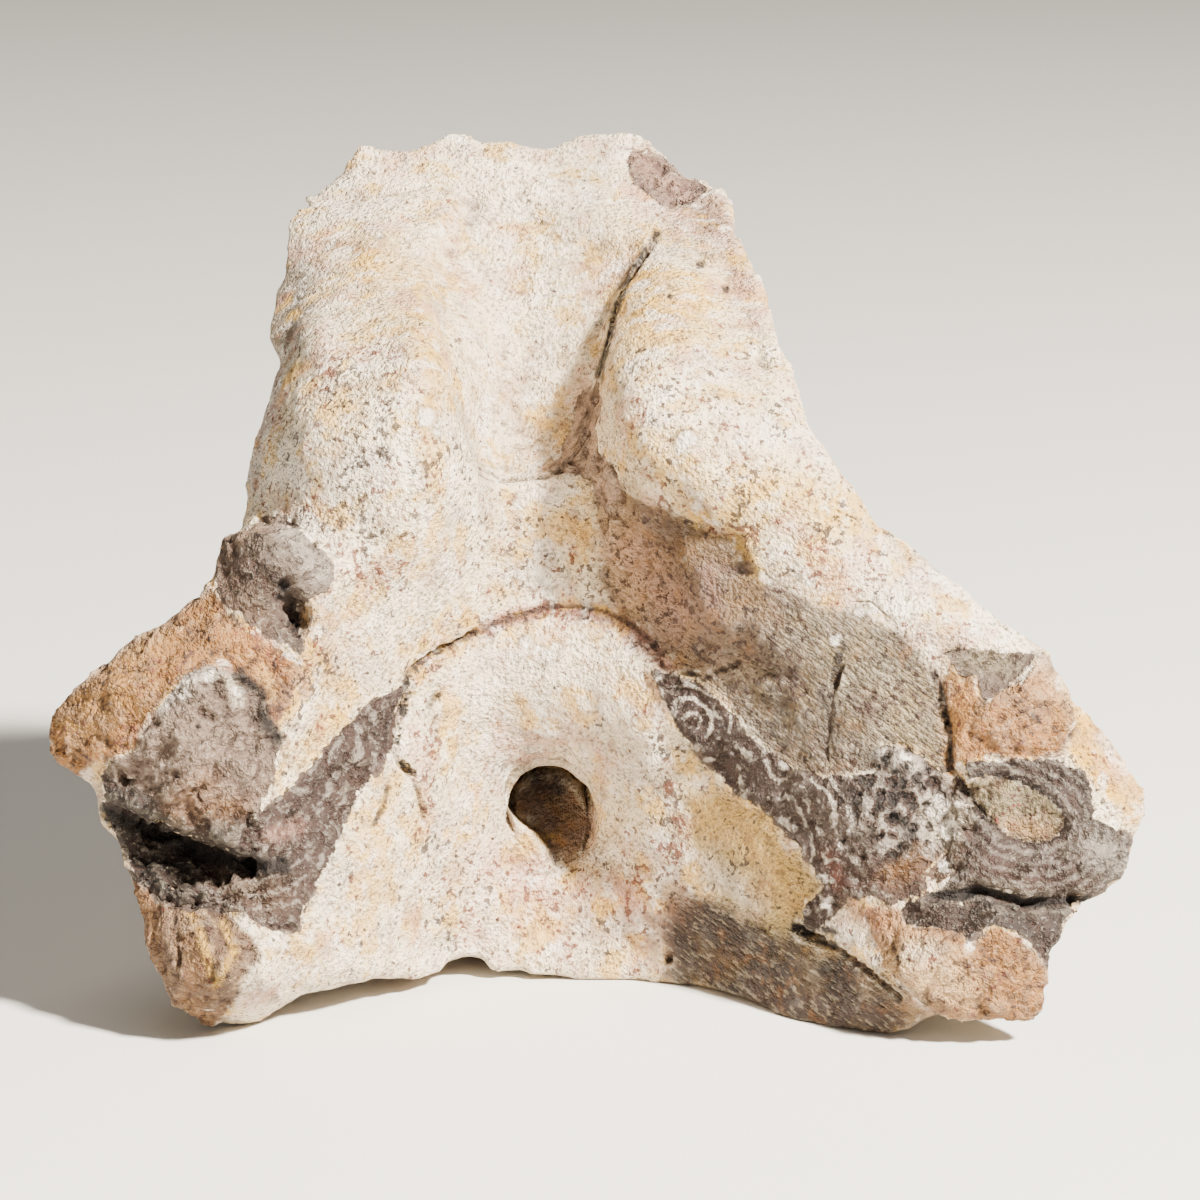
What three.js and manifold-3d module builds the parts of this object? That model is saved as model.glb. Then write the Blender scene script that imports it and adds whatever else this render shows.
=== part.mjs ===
// Lower jaw of a lystrosaurus: a fossil beak, broken off behind through both rami.
// The bone and the rock that clings to its broken ends are one piece.
// Millimetres, +Z up, +Y towards the tip of the beak, +X towards the animal's right.

import * as THREE from 'three';
import { mergeVertices } from 'three/addons/utils/BufferGeometryUtils.js';
import Module from 'manifold-3d';

const wasm = await Module();
wasm.setup();

// The jaw is laid out as an eye behind it sees it: across to the right, up, and depth away from the
// eye. The eye looks slightly down, so the laid-out jaw is tipped by the same angle to stand.
const EYE_DISTANCE = 500;
const EYE_ELEVATION = THREE.MathUtils.degToRad(13);

// Resting height: the underside below this level of the tipped jaw is worn flat.
const REST_LEVEL = -43;
const GROUND = 300;

// Rings of the surface from the middle of the rear view out to its outline, and back behind it,
// where they crowd towards the outline. Reach is 0 at the middle and 1 at the outline.
const FRONT_RINGS = 21;
const BACK_RINGS = 9;
const MIDDLE = [-5, -8];
const BACK_CROWDING = 1.7;

// How soon the outline's teeth, its rounded edge and the features near it fade with reach.
const TOOTH_POWER = 8;
const EDGE_POWER = 12;
const FEATURE_REACH = 0.94;

// Outline of the jaw in the rear view, anticlockwise, as [across, up, depth].
const OUTLINE = {
  beakLeftSide: [
    [-31.3, 39.3, 37], [-32.1, 35.1, 33], [-31.9, 33.2, 31], [-32.7, 30.7, 28], [-33.4, 27, 23],
    [-33.2, 26.2, 20], [-31.7, 24.1, 16], [-32.6, 22.6, 15], [-33.6, 18.9, 14], [-34.7, 16.6, 13],
    [-35.2, 13.5, 12], [-35.3, 9.9, 11], [-36, 7.6, 8],
  ],
  leftKnob: [[-37, 6.7, 3], [-38.3, 5.8, 0], [-38.4, 3.3, -1], [-39, 1.4, -2]],
  leftWingTop: [
    [-41.1, -0.2, -2.5], [-43.6, -2.2, -3], [-45.2, -3, -3.5], [-46.7, -3.6, -3.5], [-48.4, -5.1, -3.5],
    [-50.1, -6.6, -4], [-52, -8, -4], [-53.6, -9.3, -4], [-54.9, -11.4, -4], [-55.7, -13.9, -4],
    [-55.3, -15.6, -4], [-53.8, -16.8, -4], [-50.7, -18.3, -4],
  ],
  leftWingSide: [
    [-50.4, -20, -3.5], [-50.4, -22, -3], [-48, -23.8, -2.5], [-47.8, -27, -2.5], [-46, -32.3, -3],
    [-45.3, -35.9, -3], [-43.9, -38.8, -2], [-42.8, -41, 0], [-41.3, -42.4, 2.5], [-39.9, -43.1, 4.5],
  ],
  leftFoot: [[-37, -43, 6], [-34.1, -42.7, 6.5], [-32.6, -41.5, 6], [-31.2, -40.1, 5], [-28.8, -39.3, 6]],
  rearBottomEdge: [
    [-25.7, -38.6, 7], [-22, -37.8, 10.5], [-18.6, -38.3, 14], [-16.5, -37.9, 16], [-15.5, -36.9, 17],
    [-14, -35.7, 18.5], [-12, -35.9, 19], [-10.5, -37.4, 19], [-8, -37.1, 19.2], [-5.9, -37.6, 19.3],
    [-2.3, -38.2, 19.3], [0, -38.2, 19.2], [4.4, -38.5, 19], [6.1, -39.1, 18.5], [9.8, -38.9, 16.5],
    [13.4, -39.8, 12.5], [16.3, -41, 9.5], [19.1, -42.6, 6.5],
  ],
  rightFoot: [
    [21, -42.5, 5], [24.5, -43.8, 3], [27.3, -43.5, 2], [29.4, -43.9, 1.5], [32.3, -42.7, 0],
    [34, -41.3, -2], [36.5, -42.2, -3], [39, -41.6, -3], [41.8, -42.7, -2.5], [43.7, -42.3, -2],
    [45, -41.5, -2], [44.8, -40.2, -2], [45.1, -38.7, -2], [44.8, -36.7, -2], [45.9, -35, -2],
  ],
  rightWingSide: [
    [46.4, -32.6, -2], [47.8, -31.7, -1.5], [48.6, -30.6, -1], [50.7, -29.2, -1], [53.5, -27.4, 0],
    [53.8, -25.3, 0], [53.6, -23.8, 0], [54.5, -22.9, 0], [55.2, -20.7, 0], [55.3, -19.1, 0.5],
    [54.2, -17.8, 0.5], [52.1, -14.6, 0.5], [49.6, -11.6, 0.5], [46, -8.2, 0], [45.7, -6.2, 0],
  ],
  rightWingTop: [
    [45.1, -5, 0], [43, -3.6, 0], [40.6, -2.1, 0], [38.2, -0.7, 0.5], [36.6, 1.1, 1], [34.1, 2.8, 1.5],
    [31, 6.1, 2], [28.2, 7.4, 2.5], [26.2, 9.6, 3], [23.8, 12, 3.5],
  ],
  beakRightSide: [
    [21.5, 15.8, 5], [20.4, 17.5, 6], [19.8, 21.4, 8], [19.1, 24, 10], [17.6, 26.3, 12.5],
    [17, 30, 17], [16.6, 32, 20], [15, 34.8, 25], [13.7, 37.5, 31], [13.8, 38.8, 34],
  ],
  beakRim: [
    [13.6, 40.2, 36], [11, 42.4, 38], [9.6, 42.1, 38.5], [7.2, 44, 39.5], [5.5, 46, 40.5],
    [4.3, 46.9, 41], [2.9, 47.3, 41.5], [0.6, 47.2, 41.5], [-1.2, 46.9, 41.5], [-3.2, 46.4, 41],
    [-3.9, 46.3, 41], [-4.6, 45.6, 41], [-6.1, 45.5, 41], [-8, 45.7, 41], [-10.1, 46.1, 41],
    [-11.8, 45.8, 41], [-13, 47, 41.5], [-14.6, 47.5, 41.5], [-16.4, 46.3, 41], [-17.2, 45.9, 41],
    [-20.9, 45.7, 41], [-23.4, 46.5, 41.5], [-24.7, 46, 41], [-26.6, 42.7, 40], [-29, 41.3, 39],
  ],
};

// Soundings of the surface that the rear view shows, as [across, up, depth].
const REAR_SURFACE = {
  beakTop: [
    [-25, 41, 37], [-18, 42, 37], [-10, 42, 36], [-5.5, 42, 36.5], [0, 43, 37.5], [6, 40, 36],
    [-29, 36, 30], [-23, 36, 27.5], [-17, 36, 28], [-10, 36, 30.5], [-4, 36, 30], [2, 36, 28], [9, 37, 30],
  ],
  leftTable: [
    [-27, 31, 20], [-20, 31, 18.5], [-15, 31, 21.5], [-30, 25, 12], [-23, 25, 8.5], [-17, 25.5, 8],
    [-31, 19, 6], [-25, 19, 2.5], [-18, 19, 1.5], [-31.5, 13, 4], [-25, 13, 0], [-17, 13, 0],
    [-30, 7, 1], [-23, 7, 0], [-17, 6, 1.5],
  ],
  trough: [
    [-13, 23, 13], [-10, 31, 26], [-5, 31, 26], [0, 31, 24.5], [-9, 25, 22], [-4, 25, 21.5], [-1, 25, 18.5],
    [-13.5, 19, 8], [-10, 19, 17.5], [-5, 19, 18], [-1, 19, 14.5], [-13, 13, 6], [-10, 13, 13.5],
    [-5.5, 13, 13.5], [-1, 13, 12],
  ],
  rightTable: [
    [5, 31, 19], [12, 31, 21], [3, 25, 11], [10, 25, 9], [16, 25, 12.5], [2, 19, 6], [9, 19, 3], [17, 19, 5],
    [2.5, 13, 5], [9, 13, 0.5], [18, 13, 1.5], [6, 6, 5.5], [13, 7, 1], [20, 7, -0.5], [27, 5.5, 0],
  ],
  medianStrip: [[-13, 6, 8.5], [-9, 6, 13], [-4.5, 6, 13.5], [0, 6, 11]],
  arch: [[-19, -5, 6], [-15, -3, 9.5], [-10, -2, 13], [-4.5, -0.5, 14.2], [1, -1.5, 12.2], [6, -5, 8.5]],
  leftWall: [
    [-25, 0, 0], [-20, 0, 3], [-16, 1, 6.5], [-28, -5, -1.5], [-23, -5, 2], [-30, -12, -2.5], [-25, -12, 1],
    [-33, -20, -4], [-28, -20, -0.5], [-25, -25, 1.5], [-35, -27, -4.5], [-21, -14, 4.5], [-17, -9, 9],
    [-17, -16, 8.5], [-18, -23, 9.5], [-22, -26, 4.5], [-17, -30, 14], [-22, -33, 8], [-27, -30, 2],
    [-30, -36, 0],
  ],
  rearFace: [
    [-12, -6, 12.5], [-5, -5, 12.5], [1, -6, 11], [-12, -11, 13], [-5.5, -10, 12.8], [0, -11, 11.8],
    [4, -12, 9.5], [-12, -16, 15.5], [-5.5, -15, 16.5], [0, -16, 14.5], [-13, -23, 16], [-9, -22, 20],
    [-4, -23, 22.5], [1, -23, 18.5], [5, -23, 13], [-13, -30, 17.5], [-5, -29, 21.5], [1, -30, 18.5],
    [5, -30, 15.5], [-5, -35, 19.8], [-12, -34, 19.5], [2, -36, 19.6], [8, -37, 17],
  ],
  rightWall: [
    [10, 0, 3.5], [16, -2, 1], [23, -2, -0.5], [8, -8, 8], [14, -9, 4], [20, -9, 1], [27, -8, -1.5],
    [32, -8, -2.5], [10, -16, 9.5], [16, -16, 5], [22, -16, 1], [28, -16, -2], [8, -23, 12], [14, -23, 8],
    [19, -23, 4], [25, -23, 0], [31, -24, -2], [12, -30, 11], [18, -30, 6.5], [24, -30, 1.5], [10, -35, 15],
    [16, -37, 9.5], [23, -39, 3], [29, -40, -2],
  ],
  rightWing: [
    [30, 4, 0], [35, 0, -1], [41, -4, -1.5], [36, -8, -3], [42, -9, -2.5], [36, -14, -3.5], [43, -14, -3],
    [50, -16, -1.5], [38, -20, -3.5], [46, -22, -3], [52, -22, -1], [36, -26, -3], [45, -28, -2.5],
    [35, -35, -3.5], [42, -35, -3.5], [36, -40, -3], [43, -40, -3],
  ],
  leftWing: [
    [-34, 4, -3.5], [-37, 0, -4], [-42, -4, -5], [-47, -7, -5.5], [-51, -11, -6], [-40, -10, -6],
    [-35, -10, -4], [-44, -14, -7], [-38, -15, -6.5], [-48, -17, -6], [-40, -20, -6], [-44, -33, -4.5],
    [-38, -32, -4.5], [-40, -39, -5], [-35, -36, -4.5], [-34.5, -40, -3.5],
  ],
};

// Soundings of the outer surface behind the outline: the front of the beak, the sides, the underside.
const OUTER_SURFACE = {
  beakTip: [[-20, 44, 43.5], [-5, 45, 44.5], [6, 44, 43.5], [-27, 38, 38], [-5, 38, 46], [12, 37, 38]],
  beakSides: [
    [-32, 24, 25], [-27, 24, 35], [-18, 24, 43.5], [-5, 24, 47.5], [8, 24, 43.5], [15, 24, 33], [19, 22, 20],
    [-34, 10, 19], [-27, 10, 34], [-18, 10, 44], [-5, 10, 49.5], [8, 10, 45], [17, 10, 33], [25, 8, 16],
  ],
  rami: [
    [-50, -12, 4], [-40, -3, 13], [-30, -1, 28], [-20, -1, 41], [-5, -1, 49.5], [11, -1, 42], [22, -1, 29],
    [34, -3, 14], [46, -10, 6],
    [-48, -18, 5], [-40, -14, 15], [-30, -14, 28], [-20, -14, 40], [-5, -14, 48], [11, -14, 40.5],
    [24, -14, 28], [38, -14, 15], [50, -17, 6],
    [-44, -28, 5], [-36, -25, 15], [-28, -25, 25], [-18, -25, 36], [-5, -25, 44.5], [8, -25, 37],
    [22, -25, 25], [34, -25, 15], [48, -25, 6],
  ],
  underside: [
    [-42, -36, 5], [-34, -36, 11], [-25, -33, 22], [-13, -31.5, 37.5], [-5, -31.5, 42.3],
    [4, -31.5, 38.5], [-14, -34, 31], [-5, -34, 36], [5, -34, 32], [16, -35, 23], [28, -38, 11], [40, -38, 5],
  ],
};

// Seams across the rear surface, as [across, up].
const RIGHT_WING_SEAM = [[33, -5.5], [34, -9], [35, -18], [36.5, -20], [34, -26], [31, -29]];
const LEFT_WING_SEAM = [[-26.5, 4], [-29.5, -3], [-31, -9], [-32.5, -15], [-34.5, -21], [-36, -26]];

// Crests of the outer surface: the keel of the beak, and the shelves along its sides.
const KEEL = [[-6, 45], [-5, 30], [-4, 12], [-5, -10], [-5, -28]];
const LEFT_SHELF = [[-24, 34], [-27, 20], [-30, 6], [-38, -3], [-48, -12]];
const RIGHT_SHELF = [[10, 34], [14, 22], [19, 9], [29, -1], [42, -10]];

// Clefts in the rear surface. The wall stands straight below the steep lip, down to the depth given
// for each station, and slopes up to the other lip.
const CLEFTS = {
  rightWallEdge: {
    steepLip: [
      [1, 11.6], [5, 9], [9, 7.6], [14, 6.1], [14.8, 4], [18, 0.6], [25, 0.6], [28, -1.5], [32.5, -5.4],
    ],
    slopingLip: [
      [-1, 9], [1, 5], [5, 3], [9, 1.5], [10.5, -1.5], [15, -5], [22, -6], [26, -7.5], [31, -8],
    ],
    depths: [0.6, 1.6, 2.4, 2.8, 2.8, 2.6, 2.4, 2, 1],
  },
  underLeftWing: {
    steepLip: [
      [-48.4, -21.4], [-45, -20.7], [-42.5, -22], [-40, -23.3], [-36, -25.4], [-33.5, -26.4], [-30, -26.8],
    ],
    slopingLip: [
      [-47.9, -25], [-46.5, -28], [-43, -29], [-39, -29.5], [-36, -29], [-33.2, -28], [-29.6, -27.6],
    ],
    depths: [1.2, 7, 9, 9.5, 8.5, 5, 1.5],
  },
  rightWingCrevice: {
    steepLip: [[28.5, -29.6], [31, -30], [35, -30.1], [37.5, -28.4], [41, -29], [45, -29.7], [48, -29.4]],
    slopingLip: [[28.3, -30], [31, -30.8], [35, -31], [37.5, -29.6], [41, -30.1], [45, -30.9], [48, -30.2]],
    depths: [1, 4, 6, 7.5, 7, 6, 2],
  },
  beakSeam: {
    steepLip: [[6.3, 36.7], [4.4, 33.9], [2.5, 31], [1.5, 27], [0.5, 22], [-0.2, 16.5], [-1.3, 12.8]],
    slopingLip: [[6, 36.5], [3.9, 33.6], [1.9, 30.8], [0.8, 26.8], [-0.6, 21.6], [-2.8, 16.5], [-3.4, 13.4]],
    depths: [0.8, 2.5, 3.5, 4, 4, 3.2, 1.2],
  },
};

// How far a cleft's wedge stands out of the surface, and how wide it is at its floor beside its mouth.
const CLEFT_OVERSHOOT = 3;
const CLEFT_FLOOR = 0.12;

// The foramen in the rear face, slanting in and up from its mouth.
const FORAMEN = { mouth: [-5.1, -20.2], inset: 2, radii: [4.4, 5.4, 12], lean: -0.3, rise: 0.5 };

// The lump of rock on top of the left break, and the hollow below it.
const LEFT_KNOB = { centre: [-31.9, 3.6], depth: 0.5, radii: [5.8, 3.6, 5.6], lean: 0.4 };
const LEFT_KNOB_HOLLOW = { centre: [-30.6, -1.7], depth: -3.5, radii: [1.6, 2.6, 4.5], lean: -0.2 };

// Puts a point of the rear view in space: farther points stand wider apart than they look.
function fromView(across, up, depth) {
  const spread = 1 + depth / EYE_DISTANCE;
  return new THREE.Vector3(across * spread, depth, up * spread);
}

// Solves a square set of linear equations by elimination.
function solve(matrix, values) {
  const size = values.length;
  for (let pivot = 0; pivot < size; pivot += 1) {
    let best = pivot;
    for (let row = pivot + 1; row < size; row += 1) {
      if (Math.abs(matrix[row][pivot]) > Math.abs(matrix[best][pivot])) {
        best = row;
      }
    }
    [matrix[pivot], matrix[best]] = [matrix[best], matrix[pivot]];
    [values[pivot], values[best]] = [values[best], values[pivot]];
    for (let row = pivot + 1; row < size; row += 1) {
      const factor = matrix[row][pivot] / matrix[pivot][pivot];
      if (factor !== 0) {
        for (let column = pivot; column < size; column += 1) {
          matrix[row][column] -= factor * matrix[pivot][column];
        }
        values[row] -= factor * values[pivot];
      }
    }
  }
  for (let row = size - 1; row >= 0; row -= 1) {
    for (let column = row + 1; column < size; column += 1) {
      values[row] -= matrix[row][column] * values[column];
    }
    values[row] /= matrix[row][row];
  }
  return values;
}

// A smooth sheet through soundings [across, up, depth], bent as little as a thin plate would be.
function sheetThrough(soundings) {
  const bend = (squared) => (squared > 0 ? squared * Math.log(squared) : 0);
  const apart = (a, b) => (a[0] - b[0]) ** 2 + (a[1] - b[1]) ** 2;
  const rows = soundings.map((a) => [...soundings.map((b) => bend(apart(a, b))), 1, a[0], a[1]]);
  const sides = [() => 1, (a) => a[0], (a) => a[1]];
  sides.forEach((side) => rows.push([...soundings.map(side), 0, 0, 0]));
  const weights = solve(rows, [...soundings.map((a) => a[2]), 0, 0, 0]);
  const count = soundings.length;
  return (across, up) => {
    let depth = weights[count] + weights[count + 1] * across + weights[count + 2] * up;
    soundings.forEach((a, i) => {
      depth += weights[i] * bend(apart(a, [across, up]));
    });
    return depth;
  };
}

// Distance from a point to a path.
function distanceTo(path, across, up) {
  let nearest = Infinity;
  for (let i = 1; i < path.length; i += 1) {
    const [x, y] = path[i - 1];
    const [alongX, alongY] = [path[i][0] - x, path[i][1] - y];
    const [offX, offY] = [across - x, up - y];
    const along = (offX * alongX + offY * alongY) / (alongX ** 2 + alongY ** 2);
    const share = THREE.MathUtils.clamp(along, 0, 1);
    nearest = Math.min(nearest, Math.hypot(offX - share * alongX, offY - share * alongY));
  }
  return nearest;
}

// A groove along a path, or a crest if its depth is negative.
function groove(path, depth, width) {
  return (across, up) => depth * Math.exp(-((distanceTo(path, across, up) / width) ** 2));
}

// A swelling towards the eye, or a hollow if its height is negative.
function mound([centreAcross, centreUp], [wide, tall], height) {
  return (across, up) => {
    const reach = Math.hypot((across - centreAcross) / wide, (up - centreUp) / tall);
    return -height * Math.exp(-(reach ** 2));
  };
}

const rearFeatures = {
  rightWingSeam: groove(RIGHT_WING_SEAM, 1.6, 1.8),
  leftWingSeam: groove(LEFT_WING_SEAM, -1.5, 2),
  leftWingRock: mound([-41, -13.5], [6, 5], 1.5),
  leftTableBump: mound([-18, 22], [3, 5], 1.2),
  rightWingSocket: mound([41.5, -20.8], [4.6, 3.4], -1),
  rightWingPits: mound([33.5, -21], [2.5, 5], -2),
};

const outerFeatures = {
  keel: groove(KEEL, 0.7, 4),
  leftShelf: groove(LEFT_SHELF, 1.8, 3),
  rightShelf: groove(RIGHT_SHELF, 1.8, 3),
  leftHollow: mound([-29, -12], [6, 6], 1.6),
  rightHollow: mound([24, -12], [6, 6], 1.6),
};

const outline = Object.values(OUTLINE).flat();
const rearSheet = sheetThrough([...outline, ...Object.values(REAR_SURFACE).flat()]);
const outerSheet = sheetThrough(Object.values(OUTER_SURFACE).flat());

// What a set of features adds to the depth at a point.
function relief(features, across, up) {
  return Object.values(features).reduce((sum, feature) => sum + feature(across, up), 0);
}

// Depth of the rear surface with its features, which fade out at the outline.
function rearDepth(across, up, reach) {
  const fading = 1 - THREE.MathUtils.smoothstep(reach, FEATURE_REACH, 1);
  return rearSheet(across, up) + relief(rearFeatures, across, up) * fading;
}

// Depth of the outer surface at a ring: it rounds over from the outline to the outer sheet.
function outerDepth(across, up, rimDepth, reach) {
  const rounding = Math.sqrt(1 - reach ** EDGE_POWER);
  const depth = outerSheet(across, up) + relief(outerFeatures, across, up);
  return rimDepth + (depth - rimDepth) * rounding;
}

// The outline with its teeth smoothed away, which the inner rings of the surface follow.
const NEIGHBOURS = [-4, -3, -2, -1, 0, 1, 2, 3, 4];
const smoothOutline = outline.map((point, i) => {
  const near = NEIGHBOURS.map((step) => outline.at((i + step) % outline.length));
  return point.map((value, axis) => near.reduce((sum, other) => sum + other[axis], 0) / near.length);
});

// Where a column of the surface stands at a reach: towards its tooth of the outline.
function edgeAt(column, reach) {
  const tooth = outline[column];
  const smooth = smoothOutline[column];
  return tooth.map((value, axis) => THREE.MathUtils.lerp(smooth[axis], value, reach ** TOOTH_POWER));
}

// The whole jaw: a sphere whose columns run out to the points of the outline and whose rows are
// the rings, the first ones on the rear surface and the rest on the outer surface.
function makeBody() {
  const rows = FRONT_RINGS + BACK_RINGS;
  const geometry = new THREE.SphereGeometry(1, outline.length, rows);
  const position = geometry.attributes.position;
  for (let row = 0; row <= rows; row += 1) {
    const behind = row > FRONT_RINGS;
    const backShare = (row - FRONT_RINGS) / BACK_RINGS;
    const reach = behind ? 1 - backShare ** BACK_CROWDING : row / FRONT_RINGS;
    for (let column = 0; column <= outline.length; column += 1) {
      const edge = edgeAt(column % outline.length, reach);
      const across = MIDDLE[0] + (edge[0] - MIDDLE[0]) * reach;
      const up = MIDDLE[1] + (edge[1] - MIDDLE[1]) * reach;
      const depth = behind ? outerDepth(across, up, edge[2], reach) : rearDepth(across, up, reach);
      const point = fromView(across, up, depth);
      position.setXYZ(row * (outline.length + 1) + column, point.x, point.y, point.z);
    }
  }
  return geometry;
}

// Turns a geometry into a solid that can be joined and cut.
function toSolid(geometry) {
  const plain = geometry.clone();
  plain.deleteAttribute('normal');
  plain.deleteAttribute('uv');
  const merged = mergeVertices(plain, 1e-5);
  const vertProperties = new Float32Array(merged.attributes.position.array);
  const triVerts = new Uint32Array(merged.index.array);
  return new wasm.Manifold(new wasm.Mesh({ numProp: 3, vertProperties, triVerts }));
}

// Turns a solid back into a geometry.
function toGeometry(solid) {
  const mesh = solid.getMesh();
  const geometry = new THREE.BufferGeometry();
  geometry.setAttribute('position', new THREE.BufferAttribute(new Float32Array(mesh.vertProperties), 3));
  geometry.setIndex(new THREE.BufferAttribute(new Uint32Array(mesh.triVerts), 1));
  return geometry;
}

// The wedge of material that a cleft takes out: a box whose length follows the two lips.
function makeCleft({ steepLip, slopingLip, depths }) {
  const stations = steepLip.length - 1;
  const geometry = new THREE.BoxGeometry(1, 1, 1, stations, 1, 1);
  const position = geometry.attributes.position;
  for (let i = 0; i < position.count; i += 1) {
    const station = Math.round((position.getX(i) + 0.5) * stations);
    const [steep, sloping, depth] = [steepLip[station], slopingLip[station], depths[station]];
    const ahead = Math.min(CLEFT_OVERSHOOT, depth);
    const inside = position.getY(i) > 0;
    const fromSteepLip = inside ? CLEFT_FLOOR : 1 + ahead / depth;
    const share = position.getZ(i) > 0 ? 0 : fromSteepLip;
    const across = THREE.MathUtils.lerp(steep[0], sloping[0], share);
    const up = THREE.MathUtils.lerp(steep[1], sloping[1], share);
    const lip = share > 0 && !inside ? sloping : steep;
    const point = fromView(across, up, rearSheet(...lip) + (inside ? depth : -ahead));
    position.setXYZ(i, point.x, point.y, point.z);
  }
  return geometry;
}

// An egg with its radii across, up and in depth, leaning to one side.
function makeEgg({ centre, depth, radii, lean }) {
  const place = fromView(...centre, depth);
  return new THREE.SphereGeometry(1, 20, 12).scale(radii[0], radii[2], radii[1]).rotateY(lean)
    .translate(place.x, place.y, place.z);
}

// The foramen: a leaning egg turned to run in and up from its mouth.
function makeForamen({ mouth, inset, radii, lean, rise }) {
  const place = fromView(...mouth, rearSheet(...mouth) + inset);
  return new THREE.SphereGeometry(1, 20, 14).scale(radii[0], radii[2], radii[1]).rotateX(rise)
    .rotateY(lean).translate(place.x, place.y, place.z);
}

// Tips the jaw to the way it rests and wears its lowest points flat.
function settle(solid) {
  const geometry = toGeometry(solid).rotateX(-EYE_ELEVATION);
  const ground = new THREE.BoxGeometry(GROUND, GROUND, GROUND).translate(0, 0, REST_LEVEL - GROUND / 2);
  return toGeometry(toSolid(geometry).subtract(toSolid(ground)));
}

// The body with its lump of rock, then its hollows, then its clefts.
function makeJaw() {
  let solid = toSolid(makeBody()).add(toSolid(makeEgg(LEFT_KNOB)));
  solid = solid.subtract(toSolid(makeEgg(LEFT_KNOB_HOLLOW)));
  solid = solid.subtract(toSolid(makeForamen(FORAMEN)));
  for (const cleft of Object.values(CLEFTS)) {
    solid = solid.subtract(toSolid(makeCleft(cleft)));
  }
  return settle(solid);
}

const geometry = makeJaw();
geometry.computeBoundingBox();
const centre = geometry.boundingBox.getCenter(new THREE.Vector3());
geometry.translate(-centre.x, -centre.y, -geometry.boundingBox.min.z);
geometry.computeVertexNormals();

const bone = new THREE.MeshStandardMaterial({ color: 0xe2d4bd, roughness: 0.8, metalness: 0 });
const jaw = new THREE.Mesh(geometry, bone);
jaw.name = 'lower_jaw';

const group = new THREE.Group();
group.add(jaw);

export default group;
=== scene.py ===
"""The fossil lower jaw of a lystrosaurus: its fine stone surface, on a pale floor under soft light.

The jaw is seen from behind and a little above, as it stands on its worn underside. Places on it are given on
a chart of that view, in millimetres across and up from the middle of the view. The outer side, which that
view hides, has its own chart of x across and z up.
"""
import logging
import math
from collections.abc import Iterable
from dataclasses import dataclass
from enum import Enum

import bmesh
import bpy
import numpy as np
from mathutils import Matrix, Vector, noise


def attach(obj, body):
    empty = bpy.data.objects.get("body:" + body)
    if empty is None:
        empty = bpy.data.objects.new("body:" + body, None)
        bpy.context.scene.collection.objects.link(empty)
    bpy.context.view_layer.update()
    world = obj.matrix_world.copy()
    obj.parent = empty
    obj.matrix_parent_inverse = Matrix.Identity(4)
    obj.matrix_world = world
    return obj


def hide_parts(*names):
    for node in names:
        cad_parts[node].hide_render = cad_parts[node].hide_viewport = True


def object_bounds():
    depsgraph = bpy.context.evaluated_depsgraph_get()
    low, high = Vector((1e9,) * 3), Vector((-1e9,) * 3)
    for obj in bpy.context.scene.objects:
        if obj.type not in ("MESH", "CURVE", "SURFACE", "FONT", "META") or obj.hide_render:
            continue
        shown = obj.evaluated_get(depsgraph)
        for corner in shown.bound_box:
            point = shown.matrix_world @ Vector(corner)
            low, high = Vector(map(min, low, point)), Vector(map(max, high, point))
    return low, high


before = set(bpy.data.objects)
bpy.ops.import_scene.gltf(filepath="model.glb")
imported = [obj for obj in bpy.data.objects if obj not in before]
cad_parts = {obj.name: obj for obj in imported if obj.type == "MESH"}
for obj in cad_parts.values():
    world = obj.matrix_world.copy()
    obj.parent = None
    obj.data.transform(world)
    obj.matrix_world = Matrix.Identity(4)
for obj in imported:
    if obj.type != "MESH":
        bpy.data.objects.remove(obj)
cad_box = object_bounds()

LOG = logging.getLogger("fossil_jaw")
Place = tuple[float, float]

# A millimetre in metres, and what a layer in millimetres holds where its patches don't reach.
MM = 0.001
OUTSIDE = -9.0

# What the tilts of the stone's chips are drawn from. They would differ in every run without it.
SEED = 7


class Tone(Enum):
    """The colours of the jaw's bone and rock, and of the floor, as sRGB hex values."""

    PALE = "#efdec2"
    CREAM = "#e6d2ae"
    CHALK = "#f2e6d6"
    ASH = "#c4b8aa"
    SAND = "#c8a476"
    FAWN = "#b0937c"
    STRAW = "#a8915c"
    HONEY = "#d4a43c"
    OCHRE = "#b48c40"
    AMBER = "#a06a38"
    TAN = "#875b2e"
    ROSE = "#c4927c"
    RUST = "#6a3526"
    OLIVE = "#7b6f55"
    CLAY = "#735a44"
    FERN = "#5c5143"
    BARK = "#5a4434"
    SLATE = "#57493f"
    GREY_ROCK = "#725f51"
    MAUVE_ROCK = "#33241f"
    DUN_ROCK = "#2e231d"
    PEAT = "#2b221d"
    UMBER = "#3b281f"
    NIGHT = "#150c08"
    PAPER = "#d8d5cf"

    def linear(self) -> tuple[float, float, float, float]:
        """Turns the sRGB hex value into linear light.

        Returns:
            Red, green, blue and an alpha of one.
        """
        shares = [int(self.value[i:i + 2], 16) / 255 for i in (1, 3, 5)]
        light = [s / 12.92 if s <= 0.04045 else ((s + 0.055) / 1.055) ** 2.4 for s in shares]
        return (*light, 1.0)


class Layer(Enum):
    """What a layer of the surface holds at each point: its type, the name of its values and of its output."""

    NUMBER = ("FLOAT", "value", "Fac")
    COLOUR = ("FLOAT_COLOR", "color", "Color")
    PLACE = ("FLOAT_VECTOR", "vector", "Vector")
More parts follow.
